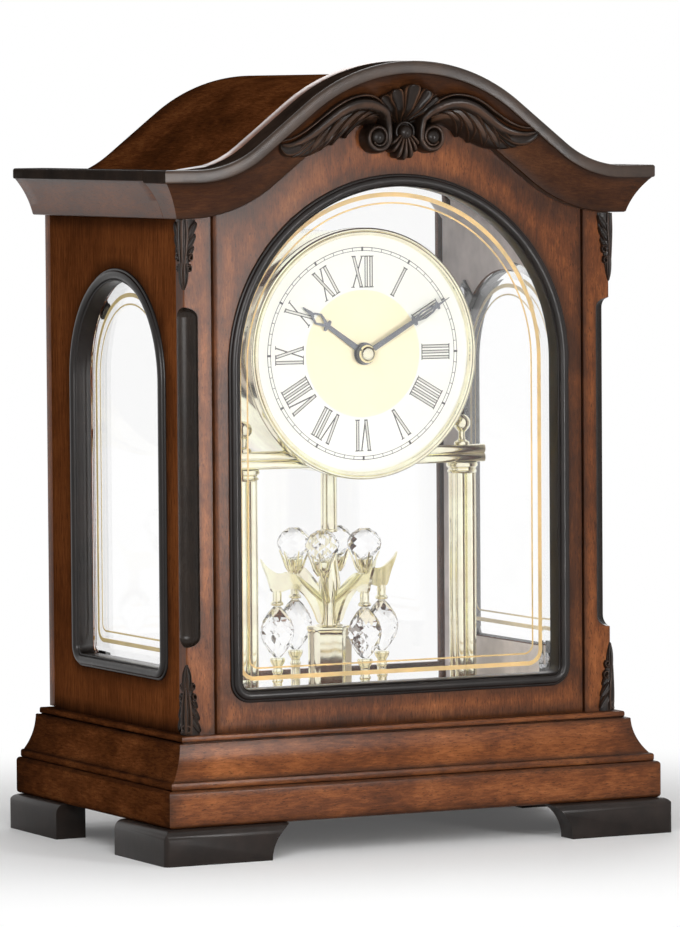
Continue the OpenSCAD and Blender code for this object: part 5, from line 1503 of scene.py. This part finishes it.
# Columns, bars, finials
def columns():
    for s, name, node in ((-1, "left_column_brass", "left_column"), (1, "right_column_brass",
        "right_column")):
        form = Form()
        cx, cy = s * COL_X, COL_Y
        form.add(turned([(0.0, 58.5), (7.6, 58.5), (7.6, 60.0), (7.35, 60.3), (7.1, 60.45), (7.1, 60.8),
            (7.45, 61.1), (7.6, 61.5),
                         (7.45, 61.9), (6.9, 62.2), (6.6, 62.7), (6.3, 63.3), (5.6, 63.5), (0.0,
                             63.5)], (cx, cy, 0), "Z", 48))
        for dx, dy in ((1, 1), (1, -1), (-1, 1), (-1, -1)):
            form.add(turned([(0.0, 59.5), (2.4, 59.5), (2.4, 63.5), (2.4, 100), (2.4, 146), (2.4, 151),
                (0.0, 151)],
                            (cx + dx * 2.35, cy + dy * 2.35, 0), "Z", 28))
        form.add(turned([(0.0, 147.4), (5.4, 147.4), (5.9, 147.7), (6.2, 148.2), (5.9, 148.7), (5.6,
            148.9), (5.6, 149.4), (6.0, 149.8),
                         (6.5, 150.3), (6.5, 151.2), (6.3, 151.8), (6.0, 152.0), (0.0,
                             152.0)], (cx, cy, 0), "Z", 48))
        make(name, form, [BRASS], stands_for=(node,), crease=30)
    form = Form()
    for s in (-1, 1):
        form.add(turned([(0.0, 159.2), (3.2, 159.2), (3.2, 160.0), (2.9, 160.5), (2.0, 160.9), (1.45,
            161.6), (1.3, 163.4), (1.5, 164.6),
                         (2.1, 165.0)] + [(3.6 * cos(radians(a)),
                             168.2 + 3.6 * sin(radians(a))) for a in range(-50, 90, 12)]
                        + [(0.55, 171.75), (0.0, 171.8)], (s * COL_X, COL_Y, 0), "Z", 32))
    make("column_finials_brass", form, [BRASS], stands_for=("column_finials",),
        crease=34)


columns()


# Pendulum
def about_pendulum(part, angle):
    """Turns a part that was drawn about the upright axis on to its place round the pendulum."""
    a = radians(angle) + PEND_TURN
    return [(x * cos(a) - y * sin(a), PEND_Y + x * sin(a) + y * cos(a), z) for x, y, z in part[0]], part[1]


def wing():
    """Brass wing: pointed tip, hollow top line, and an arched leg down to the cup."""
    tip_line = spline([(33.9, 113.6), (31.9, 111.2), (29.3, 109.2), (26.6, 107.7), (23.8, 107.3), (21.0,
        107.7), (18.0, 106.9),
                       (13.0, 104.0), (8.0, 100.6), (3.0, 97.5)], 5)
    leg_line = spline([(3.0, 85.0), (5.8, 86.2), (7.6, 90.1), (9.9, 94.2), (12.4, 97.5), (15.4, 99.9),
        (18.0, 100.7), (21.0, 100.4),
                       (23.9, 99.6), (26.2, 99.3), (28.6, 100.2), (29.8, 103.2), (31.0, 106.6), (32.8,
                           110.4), (33.9, 113.6)], 5)
    outline = [tuple(p) for p in tip_line] + [tuple(p) for p in leg_line[:-1]]
    return plate([outline[::-1]], lambda x, z, k: (x, 0.65 if k else -0.65, z))


def claw_cup(form, angle):
    """Arm and five-pronged claw that hold one upper stone."""
    arm = [(2.6, 0, 94.5), (6.0, 0, 97.2), (10.0, 0, 101.0), (13.4, 0, 105.0), (14.8, 0, 108.4)]
    form.add(about_pendulum(rod([tuple(p) for p in spline(arm, 5)], 1.15, 14), angle))
    cup = [(0.0, 106.4), (1.4, 106.6), (2.3, 107.6), (3.0, 109.2), (3.5, 111.0), (3.7, 112.0), (3.3,
        112.3), (0.0, 112.3)]
    form.add(about_pendulum(turned(cup, (14.8, 0, 0), "Z", 32), angle))
    for k in range(6):
        a = radians(60 * k)
        prong = [(14.8 + r * cos(a), r * sin(a), z) for r, z in ((1.6, 106.4), (3.3, 108.6), (4.35, 111.2),
            (5.35, 113.6), (6.3, 115.6))]
        path = [tuple(p) for p in spline(prong, 4)]
        radii = [0.75 - 0.5 * i / (len(path) - 1) for i in range(len(path))]
        form.add(about_pendulum(rod(path, radii, 10), angle))


def six_sided_cup(form):
    """Six-sided cup with hollow faces, a rounded foot and a turned rim."""
    def reach(angle, r):
        across = (angle + pi / 6) % (pi / 3) - pi / 6
        edge = cos(pi / 6) / cos(across)
        return r * (edge - 0.05 * cos(3 * across) ** 2)

    rings = []
    for z, r in ((59.0, 0.5), (59.0, 8.6), (59.3, 9.1), (60.2, 9.4), (61.2, 9.1), (62.0, 8.8), (64.0, 8.9),
        (80.5, 9.1), (82.0, 9.0),
                 (82.6, 9.3), (83.4, 9.6), (84.1, 9.5), (84.5, 9.0), (84.5, 5.6), (84.9, 5.2), (85.2, 4.2)):
        rings.append([(reach(2 * pi * i / 72, r) * cos(2 * pi * i / 72), reach(2 * pi * i / 72,
            r) * sin(2 * pi * i / 72), z)
                      for i in range(72)])
    form.add(about_pendulum(loft(rings), 0))


def pendulum():
    form = Form()
    six_sided_cup(form)
    stem = [(0.0, 84.0), (4.3, 84.4), (4.5, 85.0), (4.2, 86.0), (3.6, 88.0), (3.4, 91.0), (3.8, 95.0),
        (4.5, 99.0), (4.6, 102.5),
            (4.2, 105.5), (3.6, 109.0), (3.2, 113.0), (2.9, 118.0), (2.8, 120.2), (0.0, 120.2)]
    form.add(turned(stem, (0, PEND_Y, 0), "Z", 48))
    form.add(turned([(0.0, 118.0), (1.5, 118.0), (1.5, 152.0), (0.0, 152.0)], (0, PEND_Y, 0), "Z", 20))
    for angle in (0, 90, 180, 270):
        form.add(about_pendulum(wing(), angle))
        for rows, steps in (([(0.0, 93.9), (1.5, 93.9), (2.5, 94.3), (2.7, 94.9), (2.4, 95.5), (1.9, 95.9),
            (1.9, 99.2), (1.5, 100.2),
                              (0.0, 100.4)], 28),
                            ([(0.0, 58.9), (4.6, 58.9), (4.8, 59.2), (4.8, 60.3), (4.5, 60.7), (3.4, 60.9),
                                (2.4, 61.4), (2.0, 62.3),
                              (1.9, 66.0), (2.3, 66.6), (2.3, 67.2), (1.9, 67.8), (1.9, 69.0), (2.3,
                                  69.6), (2.9, 70.6), (3.2, 71.8),
                              (2.9, 72.5), (0.0, 72.7)], 32)):
            form.add(about_pendulum(turned(rows, (26.0, 0, 0), "Z", steps), angle))
        form.add(about_pendulum(block((6.6, -1.5, 58.95), (26.0, 1.5, 60.3)), angle))
    for angle in (45, 135, 225, 315):
        claw_cup(form, angle)
    make("pendulum_brass", form, [BRASS], "pendulum", ("pendulum_frame",), 34)


def cut_stone(rows, orbit, angle, sides=8):
    """Faceted stone: rings of corners, every second ring turned half a step, joined by triangles."""
    points, faces = [], []
    for k, (r, z) in enumerate(rows):
        for i in range(sides):
            a = 2 * pi * (i + 0.5 * (k % 2)) / sides
            points.append((orbit + r * cos(a), r * sin(a), z))
    for k in range(len(rows) - 1):
        for i in range(sides):
            j = (i + 1) % sides
            a, b, c, d = k * sides + i, k * sides + j, (k + 1) * sides + i, (k + 1) * sides + j
            faces += [[a, b, c], [b, d, c]] if k % 2 == 0 else [[a, d, c], [a, b, d]]
    faces += [list(reversed(range(sides))), [(len(rows) - 1) * sides + i for i in range(sides)]]
    return about_pendulum((points, faces), angle)


def stones():
    def rows(z0, height, r, shares):
        return [(r * w, z0 + height * h) for h, w in shares]

    form = Form()
    for angle in (45, 135, 225, 315):
        form.add(cut_stone(rows(112.5, 12.6, 7.25, ((0.0, 0.3), (0.14, 0.68), (0.34, 0.94), (0.5, 1.0),
            (0.66, 0.94), (0.86, 0.68),
                                                    (1.0, 0.3))), 14.8, angle))
    make("upper_cut_stones", form, [CRYSTAL], "pendulum", ("upper_crystals",), 1)
    form = Form()
    for angle in (0, 90, 180, 270):
        form.add(cut_stone(rows(72.9, 20.8, 7.05, ((0.0, 0.22), (0.1, 0.5), (0.28, 0.86), (0.46, 1.0),
            (0.56, 1.0), (0.72, 0.86),
                                                   (0.9, 0.5), (1.0, 0.22))), 26.0, angle))
    make("lower_cut_stones", form, [CRYSTAL], "pendulum", ("lower_crystals",), 1)


def tube_and_drum():
    rows = [(3.0, 123.5), (3.4, 123.5), (3.7, 123.8), (3.7, 124.4), (3.4, 124.7), (3.4, 148.6), (3.8,
        149.2), (4.9, 149.6), (5.2, 150.2),
            (5.2, 151.6), (4.8, 152.0), (2.2, 152.0), (2.2, 123.9)]
    make("suspension_tube_brass", Form().add(turned(rows, (0, PEND_Y, 0), "Z", 48, closed=True)), [BRASS],
        "case", ("suspension_tube",),
         34)
    rows = [(49.9, -23.0), (50.0, -22.6), (50.0, 22.6), (49.9, 23.0), (48.5, 23.0), (48.4, 22.8), (48.4,
        -22.8), (48.5, -23.0)]
    make("dial_drum_brass", Form().add(turned(rows, (0, 0, DIAL_Z), "Y", 144, closed=True)), [BRASS],
        "case", ("dial_drum",),
         34)


def clip_heads():
    """Slotted heads of the screws that hold the glass clips, on both walls and behind the front."""
    spots, ways = [], []
    for s in (-1, 1):
        for a in (42, 138):
            reach = SIDE_HALF - HOLE_IN + 4.6
            spots.append((s * 85.3, SIDE_MIDS[s] + reach * cos(radians(a)),
                SIDE_TOP - SIDE_HALF + reach * sin(radians(a))))
        for k in (-1, 1):
            spots.append((s * 85.3, SIDE_MIDS[s] + k * 34.3, 69.1))
        ways += [(-s, 0, 0)] * 4
        for z in (112.04, 185.75):
            spots.append((s * 80.9, -47.1, z))
            ways.append((0, 1, 0))
    grown("clip_screw_heads", screw_tree, {"Head Radius": 2.3 * MM, "Head Height": 1.0 * MM}, STEEL, (0, 0,
        0), "case",
          points_host("clip_screw_spots", spots, ways), 40, ("clip_screws",))


def knob_grips():
    for name, radius, y, z, x, length, body, count in (("setting_knob_grips", 5.75, 29.4, 186.4, 0.0, 5.6,
        "idler_set", 30),
                                                       ("volume_knob_grips", 4.4, 27.9, 165.4, 17.0, 3.8,
                                                           "volume_knob", 24)):
        grown(name, ring_tree, {"Count": count, "Radius": radius * MM, "Bar Width": 0.45 * MM,
            "Bar Length": 0.5 * MM,
                                "Bar Depth": length * MM}, PLASTIC, (x, y, z), body)


pendulum()
stones()
tube_and_drum()
clip_heads()
knob_grips()
ease("cross_bars_brass", "cross_bars", [BRASS], width=0.5, segments=3)
ease("back_door_frame_wood", "back_door_frame", [WOOD_UP], "back_door", 0.4, cuts=((0, 4.0), (2, 4.0)))
CARRIED = {
    "glass_clips": CLIP, "door_magnet": MAGNET, "drum_back": PLASTIC, "movement_case": PLASTIC, "movement_plate": PLASTIC,
    "circuit_board": BOARD, "speaker": PLASTIC_GREY, "pendulum_motor": PLASTIC, "battery": SLEEVE, "door_pivot_pins": STEEL,
    "door_pull": BRASS, "hour_wheel": BRASS_GEAR, "minute_arbor": STEEL, "idler_wheel": BRASS_GEAR, "setting_knob": PLASTIC,
    "battery_cover": PLASTIC, "melody_switch": WHITE, "volume_knob": PLASTIC, "mirror_plate": BRASS_MIRROR,
    "back_door_glass": GLASS}
for node, finish in CARRIED.items():
    data = nodes[node].data
    data.materials.clear()
    data.materials.append(finish)

# Studio
def studio():
    scene = bpy.context.scene
    scene.view_settings.view_transform = "Standard"
    world = bpy.data.worlds.new("studio")
    scene.world = world
    world.use_nodes = True
    t = world.node_tree
    t.nodes.clear()
    out = t.nodes.new("ShaderNodeOutputWorld")
    seen = t.nodes.new("ShaderNodeBackground")
    seen.inputs["Color"].default_value = (1, 1, 1, 1)
    seen.inputs["Strength"].default_value = 1.0
    fill = t.nodes.new("ShaderNodeBackground")
    fill.inputs["Color"].default_value = (1, 1, 1, 1)
    fill.inputs["Strength"].default_value = 0.22
    ray = t.nodes.new("ShaderNodeLightPath")
    any_1 = t.nodes.new("ShaderNodeMath")
    any_1.operation = "MAXIMUM"
    any_2 = t.nodes.new("ShaderNodeMath")
    any_2.operation = "MAXIMUM"
    t.links.new(ray.outputs["Is Camera Ray"], any_1.inputs[0])
    t.links.new(ray.outputs["Is Glossy Ray"], any_1.inputs[1])
    t.links.new(any_1.outputs[0], any_2.inputs[0])
    t.links.new(ray.outputs["Is Transmission Ray"], any_2.inputs[1])
    direct = t.nodes.new("ShaderNodeMath")
    direct.operation = "LESS_THAN"
    direct.inputs[1].default_value = 0.5
    t.links.new(ray.outputs["Diffuse Depth"], direct.inputs[0])
    clear_way = t.nodes.new("ShaderNodeMath")
    clear_way.operation = "MULTIPLY"
    t.links.new(any_2.outputs[0], clear_way.inputs[0])
    t.links.new(direct.outputs[0], clear_way.inputs[1])
    mix = t.nodes.new("ShaderNodeMixShader")
    t.links.new(clear_way.outputs[0], mix.inputs["Fac"])
    t.links.new(fill.outputs[0], mix.inputs[1])
    t.links.new(seen.outputs[0], mix.inputs[2])
    t.links.new(mix.outputs[0], out.inputs["Surface"])
    lamps = (("key_lamp", "DISK", (-0.35, -1.6, 0.95), (0, 0, 0.16), (0.8, 0.8), 2.0),
             ("near_left_lamp", "DISK", (-0.26, -0.38, 0.27), (-0.09, -0.058, 0.16), (0.22, 0.22), 1.1),
             ("front_right_strip", "RECTANGLE", (0.175, -0.6, 0.17), (-0.09, -0.058, 0.17), (0.04, 0.26),
                 1.5),
             ("top_lamp", "DISK", (0.2, 0.1, 1.6), (0, 0, 0.1), (1.1, 1.1), 2.5),
             ("back_lamp", "DISK", (0.7, 1.4, 0.9), (0, 0, 0.16), (1.0, 1.0), 10.0))
    for name, shape, spot, aim, size, power in lamps:
        lamp = bpy.data.lights.new(name, "AREA")
        lamp.shape = shape
        lamp.size = size[0]
        if shape == "RECTANGLE":
            lamp.size_y = size[1]
        lamp.energy = power
        holder = bpy.data.objects.new(name, lamp)
        holder.location = spot
        holder.visible_transmission = False
        holder.rotation_euler = (Vector(aim) - Vector(spot)).to_track_quat("-Z", "Y").to_euler()
        bpy.context.scene.collection.objects.link(holder)
    mesh = bpy.data.meshes.new("studio_floor")
    steps, far = 48, 9.0
    rings = [[(r * cos(2 * pi * i / steps), r * sin(2 * pi * i / steps),
        0.0) for i in range(steps)] for r in (0.001, 0.4, 1.0, 3.0, far)]
    points, faces = loft(rings, caps=False)
    mesh.from_pydata([Vector(p) for p in points], [], faces)
    bm = bmesh.new()
    bm.from_mesh(mesh)
    bmesh.ops.remove_doubles(bm, verts=bm.verts, dist=0.01)
    bmesh.ops.recalc_face_normals(bm, faces=bm.faces)
    for f in bm.faces:
        if f.normal.z < 0:
            f.normal_flip()
    bm.to_mesh(mesh)
    bm.free()
    r = Recipe("pale_floor")
    reach = r.put("ShaderNodeVectorMath", operation="LENGTH")
    r.link(r.place, reach.inputs[0])
    away = r.span(reach.outputs["Value"], 0.13, 0.35, 0.08, 1.0, True)
    r.set(Base_Color=(0.98, 0.98, 0.98, 1.0), Roughness=0.9)
    r.skin.inputs["Specular IOR Level"].default_value = 0.0
    white = r.put("ShaderNodeEmission")
    white.inputs["Color"].default_value = (1, 1, 1, 1)
    white.inputs["Strength"].default_value = 1.0
    path = r.put("ShaderNodeLightPath")
    seen_ray = r.sum("MAXIMUM", path.outputs["Is Camera Ray"], r.sum("MAXIMUM",
        path.outputs["Is Glossy Ray"], path.outputs["Is Transmission Ray"]))
    seen_ray = r.sum("MULTIPLY", seen_ray, r.sum("LESS_THAN", path.outputs["Diffuse Depth"], 0.5))
    mix = r.put("ShaderNodeMixShader")
    r.link(r.sum("MULTIPLY", away, seen_ray), mix.inputs["Fac"])
    r.link(r.skin.outputs["BSDF"], mix.inputs[1])
    r.link(white.outputs["Emission"], mix.inputs[2])
    r.link(mix.outputs["Shader"], r.out.inputs["Surface"])
    floor = bpy.data.objects.new("studio_floor", mesh)
    mesh.materials.append(r.finish)
    bpy.context.scene.collection.objects.link(floor)


studio()
